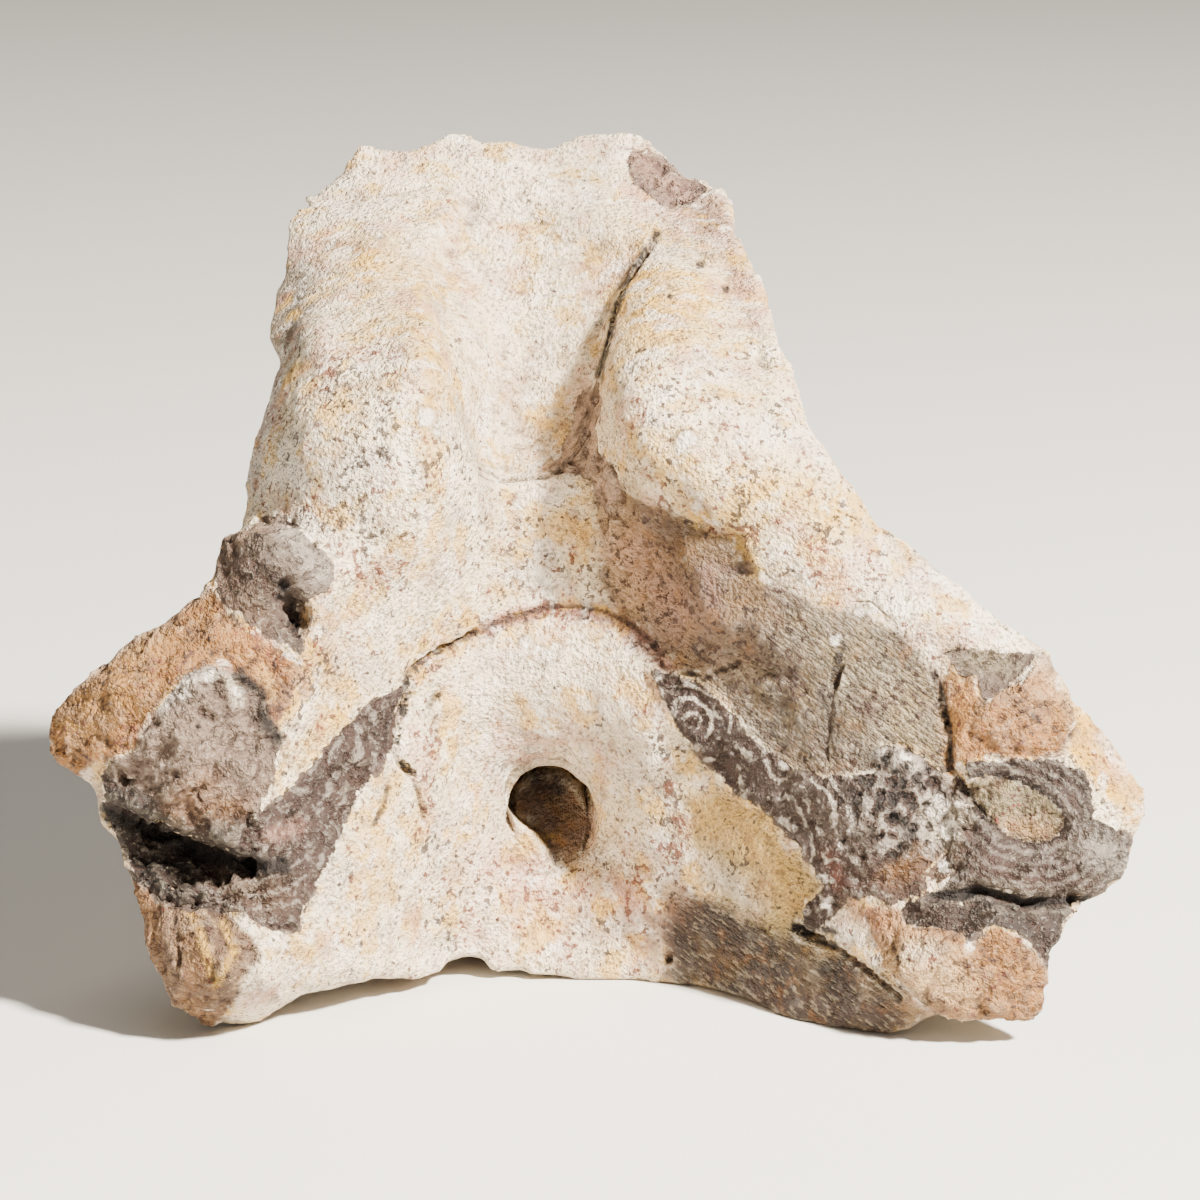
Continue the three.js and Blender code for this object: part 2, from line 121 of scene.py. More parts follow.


# The layers, which the weathering stores and the finish reads; one of them is painted shade, with some dust,
# in the deepest hollows. Rock, breaks, chips and cracks are given by how far inside them a point is, in
# millimetres.
LAYERS = {
    "bone_tone": Layer.COLOUR,
    "rock_tone": Layer.COLOUR,
    "grain": Layer.PLACE,
    **dict.fromkeys(("rock", "breaks", "chip", "crack", "crack_dark", "dust_and_painted_shade", "hollow", "chalk", "fibre",
                     "pore", "band", "vein", "curl", "sponge"), Layer.NUMBER),
}


def smooth_step(low: float, high: float, value: np.ndarray) -> np.ndarray:
    """Rises smoothly from 0 to 1 as value goes from low to high, or falls where high is the lesser."""
    share = np.clip((value - low) / (high - low), 0.0, 1.0)
    return share * share * (3.0 - 2.0 * share)


def soften(sheet: bmesh.types.BMesh, rounds: int) -> None:
    """Draws every point half way to the middle of its neighbours, in so many rounds."""
    for _ in range(rounds):
        bmesh.ops.smooth_vert(sheet, verts=sheet.verts, factor=0.5,
                              use_axis_x=True, use_axis_y=True, use_axis_z=True)


@dataclass(frozen=True)
class Lumps:
    """Weathered lumps: how wide and high they are in millimetres, and how many layers of them there are.

    Each layer is finer and fades against the one before. The shift moves them, so that two kinds differ.
    """

    width: float
    height: float = 1.0
    layers: int = 4
    shift: float = 0.0
    fade: float = 1.0
    finer: float = 2.0

    def at(self, points: np.ndarray) -> np.ndarray:
        """Measures the lumps.

        Args:
            points: one row of x, y and z a point, in millimetres.

        Returns:
            Their height at each point, mostly between plus and minus their own.
        """
        places = [Vector(place) for place in points / self.width + self.shift]
        heights = [noise.fractal(place, self.fade, self.finer, self.layers) for place in places]
        return self.height * np.array(heights)


@dataclass(frozen=True)
class Chips:
    """Stone that has broken in small tilted planes: how wide and high they are, in millimetres.

    The shift moves them, the spread takes the tilt of each from a place of its own, and the tilt is how steep
    they are, up to the most that they rise.
    """

    width: float
    height: float
    shift: float = 0.0
    spread: float = 3.7
    tilt: float = 3.0
    most: float = 1.5

    def at(self, points: np.ndarray) -> np.ndarray:
        """Measures the chips.

        Args:
            points: one row of x, y and z a point, in millimetres.

        Returns:
            Their height at each point, in millimetres.
        """
        heights = []
        for place in points / self.width + self.shift:
            spot = Vector(place)
            middle = noise.voronoi(spot)[1][0]
            heights.append((spot - middle).dot(noise.noise_vector(middle * self.spread)) * self.tilt)
        return self.height * np.clip(np.array(heights), -self.most, self.most)


@dataclass(frozen=True)
class RearView:
    """The view of the jaw from behind, on whose chart its places are given.

    The distance and the middle are in millimetres, as are the lens and the plate of the camera.
    """

    distance: float = 500.0
    elevation: float = math.radians(13.0)
    middle: tuple[float, float, float] = (0.0505, 19.9527, -43.0)
    lens: float = 150.0
    plate: float = 36.0

    def eye(self) -> Vector:
        """The camera's place in the jaw's frame, in metres."""
        level = (0.0, -self.distance * math.cos(self.elevation), self.distance * math.sin(self.elevation))
        return Vector(a - b for a, b in zip(level, self.middle)) * MM

    def away(self) -> np.ndarray:
        """The direction in which the camera looks."""
        return np.array((0.0, math.cos(self.elevation), -math.sin(self.elevation)))

    def chart(self, points: np.ndarray) -> np.ndarray:
        """Finds where points of the jaw stand on the chart.

        Args:
            points: one row of x, y and z a point, in millimetres.

        Returns:
            One row of across, up and depth behind the plate a point, in millimetres.
        """
        x, y, z = (points + np.array(self.middle)).T
        depth = y * math.cos(self.elevation) - z * math.sin(self.elevation)
        height = y * math.sin(self.elevation) + z * math.cos(self.elevation)
        scale = 1.0 + depth / self.distance
        return np.stack([x / scale, height / scale, depth], axis=1)

    def facing(self, points: np.ndarray, normals: np.ndarray) -> np.ndarray:
        """Finds what the view sees.

        Args:
            points: one row of x, y and z a point, in millimetres.
            normals: the direction that each point faces.

        Returns:
            One share a point, from 0 where it faces away to 1 where it can be seen.
        """
        ray = np.array(self.eye()) / MM - points
        ray /= np.linalg.norm(ray, axis=1)[:, None]
        return smooth_step(-0.25, 0.1, (normals * ray).sum(axis=1))


@dataclass(frozen=True)
class Line:
    """A crack or seam along a path on a chart: its width and depth in millimetres, and how dark it is."""

    path: tuple[Place, ...]
    width: float = 1.0
    depth: float = 0.0
    dark: float = 0.7

    def distance(self, chart: np.ndarray) -> np.ndarray:
        """Measures how far points are from the path.

        Args:
            chart: one row a point, which starts with its place across and up, in millimetres.

        Returns:
            The distance of each, in millimetres.
        """
        nearest = np.full(len(chart), np.inf)
        flat = chart[:, :2]
        for start, end in zip(self.path[:-1], self.path[1:]):
            a, b = np.array(start), np.array(end)
            run = b - a
            share = np.clip((flat - a) @ run / max(run @ run, 1e-9), 0.0, 1.0)
            nearest = np.minimum(nearest, np.linalg.norm(flat - a - share[:, None] * run, axis=1))
        return nearest

    def inside(self, chart: np.ndarray, fray: np.ndarray) -> np.ndarray:
        """How far each point is inside the line's width, which a field frays, in millimetres."""
        return 0.5 * self.width * fray - self.distance(chart)

    def groove(self, chart: np.ndarray) -> np.ndarray:
        """How far the line sinks each point, in millimetres."""
        return -self.depth * (1.0 - smooth_step(0.2 * self.width, self.width, self.distance(chart)))


@dataclass(frozen=True)
class Patch:
    """A patch inside a closed outline on a chart: how far it stands proud, how rough and soft-edged it is."""

    outline: tuple[Place, ...]
    step: float = 0.0
    rough: float = 0.0
    tone: Tone | None = None
    soft: float = 0.4

    def inside(self, chart: np.ndarray) -> np.ndarray:
        """Measures how far points are inside the outline.

        Args:
            chart: one row a point, which starts with its place across and up, in millimetres.

        Returns:
            The distance of each from the outline, in millimetres, and less than 0 outside it.
        """
        flat = chart[:, :2]
        ring = np.array(self.outline)
        within = np.zeros(len(flat), dtype=bool)
        for (ax, ay), (bx, by) in zip(ring, np.roll(ring, -1, axis=0)):
            crosses = (ay > flat[:, 1]) != (by > flat[:, 1])
            rise = by - ay if abs(by - ay) > 1e-9 else 1e-9
            within ^= crosses & (flat[:, 0] < ax + (bx - ax) * (flat[:, 1] - ay) / rise)
        edge = Line((*self.outline, self.outline[0])).distance(chart)
        return np.where(within, edge, -edge)

    def share(self, chart: np.ndarray, wander: np.ndarray | float = 0.0) -> np.ndarray:
        """How much of each point the patch covers, from 0 to 1, with a border that wanders."""
        return smooth_step(-self.soft, self.soft, self.inside(chart) + wander)

    def relief(self, chart: np.ndarray, wander: np.ndarray, rough: np.ndarray) -> np.ndarray:
        """How far the patch raises each point, in millimetres, from fields of its border and roughness."""
        return self.share(chart, wander) * (self.step + self.rough * rough)


@dataclass(frozen=True)
class Fill:
    """A hollow that is filled up to a plane, whose depth is a level and its leans across and up the chart.

    What lies deeper behind the plane than the reach stays as it is.
    """

    patch: Patch
    level: float
    across: float
    up: float
    reach: float

    def rise(self, chart: np.ndarray) -> np.ndarray:
        """How far each point comes forward, in millimetres."""
        behind = chart[:, 2] - (self.level + self.across * chart[:, 0] + self.up * chart[:, 1])
        return self.patch.share(chart) * np.where(behind < self.reach, np.maximum(behind, 0.0), 0.0)


@dataclass(frozen=True)
class Stroke:
    """A soft brush stroke along a path on the chart: its width in millimetres, strength and colour."""

    path: tuple[Place, ...]
    width: float
    strength: float = 1.0
    tone: Tone | None = None

    def share(self, chart: np.ndarray, uneven: np.ndarray | float = 0.0) -> np.ndarray:
        """How much of each point the stroke covers, up to its strength, with sides that a field frays."""
        away = Line(self.path).distance(chart) * (1.0 + 0.5 * uneven)
        return self.strength * np.exp(-((away / self.width) ** 2))


@dataclass(frozen=True)
class Spot:
    """A round pit, hole, mound or chip on a chart: its place, its radius and how far it rises."""

    across: float
    up: float
    radius: float
    rise: float = 0.0

    def distance(self, chart: np.ndarray) -> np.ndarray:
        """How far each point is from the spot's middle, in millimetres."""
        return np.hypot(chart[:, 0] - self.across, chart[:, 1] - self.up)

    def inside(self, chart: np.ndarray, part: float = 1.0) -> np.ndarray:
        """How far each point is inside a part of the spot's radius, in millimetres."""
        return part * self.radius - self.distance(chart)

    def dome(self, chart: np.ndarray, inner: float, outer: float) -> np.ndarray:
        """A dome that is 1 up to inner radii from the middle, and 0 from outer radii on."""
        return 1.0 - smooth_step(inner * self.radius, outer * self.radius, self.distance(chart))


@dataclass(frozen=True)
class Nest:
    """Nested curls of mineral on the chart: their middle, and how wide and tall they are."""

    across: float
    up: float
    wide: float
    tall: float

    def rings(self, chart: np.ndarray) -> np.ndarray:
        """How far each point is from the middle, in millimetres of a round nest."""
        return np.hypot((chart[:, 0] - self.across) / self.wide, (chart[:, 1] - self.up) / self.tall)


def each(kind: type, *rows: tuple[float, ...]) -> tuple:
    """Makes one thing of a kind from each row of its numbers."""
    return tuple(kind(*row) for row in rows)


# Broad forms: the trough of the beak, the swellings beside it and the planes below them.
FORMS = {
    "left_bump": Patch(((-19.4, 26.4), (-17.4, 27.4), (-15, 26.6), (-14.4, 23.6), (-15.4, 20.6),
        (-17.8, 20.4), (-19.6, 22.6)), step=0.6, soft=0.9),
    "trough": Patch(((-13, 40.5), (-15.8, 36), (-16.4, 31), (-15.6, 25.5), (-13.8, 20), (-12.4, 14.5),
        (-11.2, 12.6), (-8, 12.5), (-5.4, 13), (-3.4, 14.4), (-1.6, 17.6), (-1.2, 20.8), (-0.4, 24),
        (0.2, 27.6), (1.4, 31.4), (3.4, 35), (0, 36.4), (-3.6, 38.4), (-6, 40), (-8, 41)), step=-1.7,
        soft=1.6),
    "left_swelling": Patch(((-27, 24), (-22, 27.5), (-17.4, 27), (-16.4, 22), (-14.4, 16), (-15.6, 9),
        (-20, 5), (-26, 8), (-29, 15)), step=0.9, soft=3),
    "right_swelling": Patch(((0.6, 24), (2.4, 30), (5.6, 34.6), (11, 33), (16, 26), (20, 18), (26, 9),
        (20, 7.4), (12, 9.4), (4, 13.4), (0.8, 18)), step=1.1, soft=2.6),
    "right_wall": Patch(((-1, 9), (5, 8.4), (12, 5.6), (18.6, 0.4), (26.8, -1.2), (30, -4.2), (33, -8.6),
        (33.6, -15), (25, -17), (16, -14), (8, -6), (2, -1)), step=-0.8, soft=3.2),
    "right_shelf": Patch(((10.5, 7), (13.6, 6.2), (14.2, 3), (16.8, 1.6), (14, 2.4), (12, 4.4)), step=-0.5,
        rough=0.1, soft=0.8),
    "left_cavity": Patch(((-49.6, -20.6), (-45, -22.4), (-41, -23.6), (-37.6, -25), (-33, -25.6),
        (-31, -26.4), (-34, -28.2), (-38, -28.6), (-43, -27.6), (-47.6, -24.4)), step=-0.3, rough=0.5,
        soft=1),
    "left_lip": Patch(((-48.4, -23.4), (-44, -26.4), (-38.6, -28), (-34, -28.2), (-33.6, -31), (-38, -32),
        (-43.6, -30.6), (-48, -27)), step=-0.7, rough=0.5, soft=1.6),
    "left_ledge": Patch(((-49.4, -18.4), (-45, -20.4), (-41, -21.4), (-37.6, -21.6), (-35, -22.8),
        (-36.6, -24.6), (-41, -22.8), (-45, -21.6), (-49.6, -19.8)), step=0.9, rough=0.3, soft=0.5),
    "left_bevel": Patch(((-54, -9.2), (-50, -6.4), (-46, -3), (-40, 1.6), (-36.8, 6), (-35.6, 7.6),
        (-37.2, 7.8), (-41, 2.8), (-47, -1.4), (-54.6, -7.6)), step=-0.5, rough=0.1),
    "foot_facet": Patch(((30.2, -33), (33, -33.4), (37, -34.4), (39.6, -37), (40.6, -41), (37.4, -42.6),
        (33, -40.6), (29.6, -37.6)), step=0.7, rough=0.2, soft=0.5),
    "wing_facet": Patch(((38.6, -10), (42, -8), (43.9, -5), (46.6, -9.4), (47.6, -12.4), (45.4, -15.2),
        (40, -15), (37.6, -13)), step=0.7, rough=0.2, soft=0.5),
    "right_crevice": Patch(((33.4, -29.4), (36.1, -29), (37.8, -28.3), (40.2, -29), (42.5, -29.9),
        (45.5, -29.6), (48.6, -29.9), (48.6, -30.6), (45.5, -30.5), (42.5, -30.8), (40, -30.2), (37.8, -29.6),
        (33.4, -30)), step=-1.6, soft=0.5),
    "foramen": Patch(((-7.2, -17.6), (-6, -16.6), (-4, -16.6), (-2.6, -18.4), (-2.2, -21.6), (-2.4, -24.4),
        (-3.6, -25), (-5.4, -22.4), (-7.4, -20.6)), step=-0.8, soft=0.8),
    "foramen_rim": Patch(((-9.6, -17), (-7, -14.8), (-3.4, -15), (-1, -18), (-0.8, -24), (-2.6, -27.4),
        (-6, -26.6), (-9.4, -22)), step=-0.9, soft=1.6),
}

# Hollows that are shallower than the plain solid has them.
FILLS = (
    Fill(Patch(((14.6, 5.2), (17, 3.6), (20, 1.8), (24, 1), (27, 0.2), (30.4, -2), (33, -5), (34, -9),
        (30, -9.4), (24, -7), (18, -6.4), (15, -4.4)), soft=1.3), level=4.6, across=-0.24, up=-0.2, reach=4),
    Fill(Patch(((8.6, 4), (10, 4.4), (13, 3.4), (16.4, 3), (17, -2), (12.6, -4), (9.6, -2), (8.8, 0)),
        soft=1.6), level=6.6, across=-0.36, up=-0.117, reach=4),
    Fill(Patch(((7.6, 8.6), (9, 8.8), (10.4, 8.4), (12.4, 7.8), (14.8, 7.2), (15.8, 4.8), (17.4, 2.8),
        (14, 1.6), (9.6, 2), (8, 4)), soft=0.9), level=7.4, across=-0.36, up=-0.117, reach=4),
    Fill(Patch(((-9.6, -20), (-7.8, -19.4), (-6.6, -22), (-4.8, -24.6), (-4.2, -27.6), (-8.6, -27)), soft=1),
        level=17.1, across=0.3, up=-0.244, reach=9),
    Fill(Patch(((-8.8, -18.6), (-7, -16.6), (-4, -16.4), (-1.8, -18), (-0.8, -21), (-1.4, -25.4), (-4.6, -27),
        (-7.6, -25.4), (-9, -22)), soft=0.6), level=35.2, across=-0.33, up=0.52, reach=9),
)

# Areas of bone that differ in colour from the rest.
AREAS = {
    "right_wall": Patch(((-1.5, 12), (2, 11), (5.9, 8.7), (10, 7), (13.8, 5.9), (14.3, 3.1), (16.6, 1.8),
        (18.6, 0.8), (22, 0.2), (25.3, -0.5), (26.8, -0.5), (30.1, -3.3), (32.4, -5.6), (33.9, -8.4),
        (34.7, -12.2), (34.9, -16.8), (31.9, -15.5), (28.1, -14.5), (27.5, -16.8), (22.4, -17.6),
        (18.4, -16.6), (14.3, -12.5), (10.7, -7.9), (5.6, -5.8), (3.7, -3.4), (1.6, -1.8), (0.6, 2),
        (-0.6, 8)), step=-0.25, rough=0.15, tone=Tone.FERN, soft=0.35),
    "right_wall_brown": Patch(((-1.5, 12), (2, 11), (5.9, 8.7), (10, 7), (13.8, 5.9), (14.3, 3.1), (17, 1.6),
        (18, -2), (16, -6), (12, -7.4), (8, -6.6), (3.7, -3.4), (1.6, -1.8), (0.6, 2)), rough=0.1,
        tone=Tone.CLAY, soft=1.6),
    # The dark brown lip under the right crest: partly the bone's own brown, partly painted shadow under the
    # crest.
    "right_lip": Patch(((10, 7.4), (13.8, 6.3), (14.6, 3.3), (17, 2), (19.4, 0.6), (17.6, -1.2), (14.4, 0.2),
        (12.6, 3.2)), step=-0.1, rough=0.15, tone=Tone.BARK, soft=0.9),
    # Its dark tone is partly the bone's own stain and partly painted shade of the lower right bone, which the
    # lamp hardly reaches.
    "striated": Patch(((6, -29), (9.4, -29.4), (12.2, -30.2), (16, -32), (19.9, -33.8), (24, -35.4),
        (27.5, -36.9), (31, -39.4), (33.4, -41.2), (29.6, -43.9), (24.4, -43.9), (19.3, -42.6), (12.2, -39.2),
        (6.1, -37.9)), step=-0.2, rough=0.15, tone=Tone.PEAT, soft=0.8),
    "ochre": Patch(((8.9, -19.5), (13.2, -19.3), (16.3, -21.8), (19.9, -25.4), (21.9, -28.5), (20.4, -31.3),
        (18.3, -33.3), (13.2, -30.8), (9.7, -28.2), (9.1, -23.1)), rough=0.1, tone=Tone.STRAW, soft=0.8),
    "left_orange": Patch(((-30, -0.6), (-27.4, 0.8), (-25.6, -1.4), (-27, -6.6), (-28.8, -8.4), (-30, -5.4)),
        tone=Tone.TAN, soft=0.7),
    "left_bevel": Patch(((-55, -9), (-53.6, -8.8), (-50, -6), (-46, -2.6), (-40, 2), (-36.8, 6.4),
        (-35.6, 8.4), (-38, 8.4), (-42, 3), (-48, -1.4), (-56, -7.6)), rough=0.1, tone=Tone.DUN_ROCK),
    "right_rim_bone": Patch(((46, -8), (49, -9.6), (52, -14), (55, -19), (54.6, -23), (53, -22.6),
        (49.3, -17.3), (46.9, -14.7), (47.5, -11.7)), rough=0.1, tone=Tone.HONEY, soft=0.6),
    "side_sheet": Patch(((-36, 24.5), (-31.8, 25), (-32.4, 18), (-33.4, 12), (-35.4, 9), (-38, 10)),
        rough=0.2, tone=Tone.ASH, soft=0.8),
    "median": Patch(((-11.4, 12), (-7, 11.6), (-7, 5), (-8, -0.6), (-11, -2), (-11.6, 4)), rough=0.1,
        tone=Tone.CREAM, soft=2),
    "arch": Patch(((-18.8, -7), (-16, -4.9), (-12, -2.6), (-9, -1.2), (-5.5, -0.3), (-1, -0.7), (3, -2.4),
        (6, -4.8), (7.2, -6.8), (6.4, -7.2), (4, -5), (0, -2.8), (-4, -1.7), (-8, -2.2), (-12, -4),
        (-15.5, -6.2), (-18, -8.2)), step=-0.35, rough=0.15, tone=Tone.ROSE, soft=0.5),
    "foramen": Patch(((-8.8, -18.6), (-7, -16.4), (-4, -16.2), (-1.8, -18), (-0.8, -21), (-1.4, -25),
        (-3.4, -26), (-6.6, -23), (-8.6, -20.6)), tone=Tone.CLAY, soft=0.5),
    "beak_side": Patch(((4, 46), (8.6, 43), (12.6, 41.6), (14, 38), (13, 36), (9.6, 37), (7.6, 38.2),
        (4.6, 38.6), (2.8, 41)), rough=0.15, tone=Tone.FAWN, soft=1.2),
}

# Painted shade, with some dark dust: strokes that darken the deepest hollows, the ground under ledges and
# crests, and the narrowest cracks, where shadow falls.
DUST_AND_SHADE_STROKES = (
    Stroke(((-49.2, -21.4), (-45, -23.2), (-40, -25.2), (-35.6, -26.4), (-31.6, -26.6)), 1.2, 0.8),
    Stroke(((-47.4, -24.6), (-43, -26.8), (-38, -28.2), (-34.6, -28.4)), 1.2, 0.25),
    Stroke(((-32.2, 2), (-31, 0), (-30.4, -3)), 0.9, 0.55),
    Stroke(((-30, -0.4), (-30.2, -5)), 0.6, 0.45),
    Stroke(((-36.1, -7.4), (-34, -9.2), (-33.5, -12), (-32.2, -13.8)), 1.1, 0.75),
    Stroke(((33.4, -29.5), (36.1, -29.5), (37.8, -28.9), (40.2, -29.5), (42.5, -30.3), (45.5, -30.1),
        (48.6, -30)), 0.5),
    Stroke(((19.4, -32.6), (20.8, -33.6), (23.4, -34.6)), 0.6, 0.85),
    Stroke(((22.4, -33), (23.4, -33.2)), 0.6, 0.8),
    Stroke(((5.6, 36.6), (4, 34), (2.4, 31.4), (1.5, 28.6), (0.6, 25.4), (-0.2, 22.4)), 0.5, 0.75),
    Stroke(((-0.6, 21), (-1.8, 17.4), (-1.6, 14.4)), 0.6, 0.35),
    Stroke(((34.2, -8.6), (34.8, -12.2), (35.2, -16), (37, -19.6), (39, -22)), 0.3, 0.45),
    Stroke(((37.6, -17.5), (40.8, -17.6), (44, -18.9), (46.4, -21)), 0.35, 0.65),
    Stroke(((8.4, 7.2), (11.6, 6.4), (13.8, 5.2)), 0.7, 0.3),
    Stroke(((-6.8, -17.6), (-5.4, -17.8), (-4, -18.8)), 1.7, 0.6),
    Stroke(((24.3, -4.4), (23.6, -8)), 0.25, 0.5),
    Stroke(((27.6, -15.6), (30.4, -17.6), (29, -20.6), (31.4, -23.8), (28.2, -26.4)), 0.9, 0.6),
    Stroke(((19.8, -31.6), (20.8, -33.2)), 1.4, 0.5),
)

# Nests of curled mineral in the rock: across, up, and how wide and tall they are.
NESTS = each(Nest,
    (9, -12.4, 0.9, 1.1), (12, -18.6, 1, 1.1), (17.6, -24.6, 0.9, 1.2), (20.6, -31, 1, 1), (-30, -14, 1, 1.2),
    (-34, -24, 1.2, 1),
)

# The outer side, which the rear view hides, on its own chart of x across and z up: seams of the chin, small
# holes for vessels, and rock left on it.
OUTER_SEAMS = (
    Line(((0.6, 78), (0.2, 66), (-0.5, 52), (0.4, 38), (-0.2, 22), (0.2, 10)), 0.5, 0.35),
    Line(((-30, 46), (-22, 40), (-12, 37), (-4, 36)), 0.4, 0.4),
    Line(((30, 44), (23, 39), (13, 36.6), (5, 36)), 0.4, 0.4),
    Line(((-46, 30), (-38, 24), (-30, 22.6), (-22, 17)), 0.5, 0.6),
    Line(((20, 62), (17, 55), (18.4, 48)), 0.35, 0.5),
    Line(((36, 34), (33, 26), (34, 18), (31, 11)), 0.4, 0.5),
)

OUTER_PITS = each(Spot,
    (-16, 70, 0.8), (-11.4, 66.4, 0.6), (-6, 71, 0.7), (-19.4, 62.6, 0.7), (7.4, 69.6, 0.8), (12.6, 66, 0.6),
    (16.4, 70.6, 0.7), (4, 62.4, 0.6), (-8.6, 58, 0.5), (10.8, 57, 0.7), (-24, 52, 0.9), (24.6, 50.4, 0.8),
    (-33, 33, 1.1), (31.4, 30, 1), (-14, 24, 0.8), (15.6, 21, 0.7), (-40, 22, 0.7), (41, 24, 0.6),
)

OUTER_ROCK = (
    Patch(((-44, 20), (-40, 24.6), (-35, 25), (-31, 20), (-32.6, 13), (-37, 10.4), (-43, 13)), step=0.3,
        rough=0.5, tone=Tone.GREY_ROCK, soft=0.6),
    Patch(((8, 46), (14, 49), (19.4, 45.4), (18, 39.4), (11, 38), (7.4, 41.4)), step=0.25, rough=0.5,
        tone=Tone.GREY_ROCK, soft=0.6),
    Patch(((36, 16), (42, 20), (48, 16), (46, 9), (38, 8.6)), step=0.3, rough=0.5, tone=Tone.GREY_ROCK,
        soft=0.6),
)

# Chips of pale bone and crystal: across, up and radius.
CHIPS = each(Spot,
    (-17.4, 18.2, 1.1), (-16.4, 16.8, 0.6), (8.7, 15.9, 1.1), (-7.4, -4.4, 0.9), (-5.2, -5.6, 1),
    (-4.4, -4.6, 0.6), (33.8, -20.8, 1.4), (34.8, -22.8, 1.3), (36, -20.4, 0.7), (28.4, -15.4, 0.6),
    (30.6, -15.6, 0.6), (-22.2, 36.7, 0.5), (23.6, -4, 0.8), (24.8, -3.6, 0.6), (26, -1.2, 0.8),
    (8.2, 15.2, 0.9), (-38.9, -7.6, 0.9), (-41.4, -9.4, 0.8), (-36.2, -9, 0.7), (34.6, -26.6, 1.1),
)

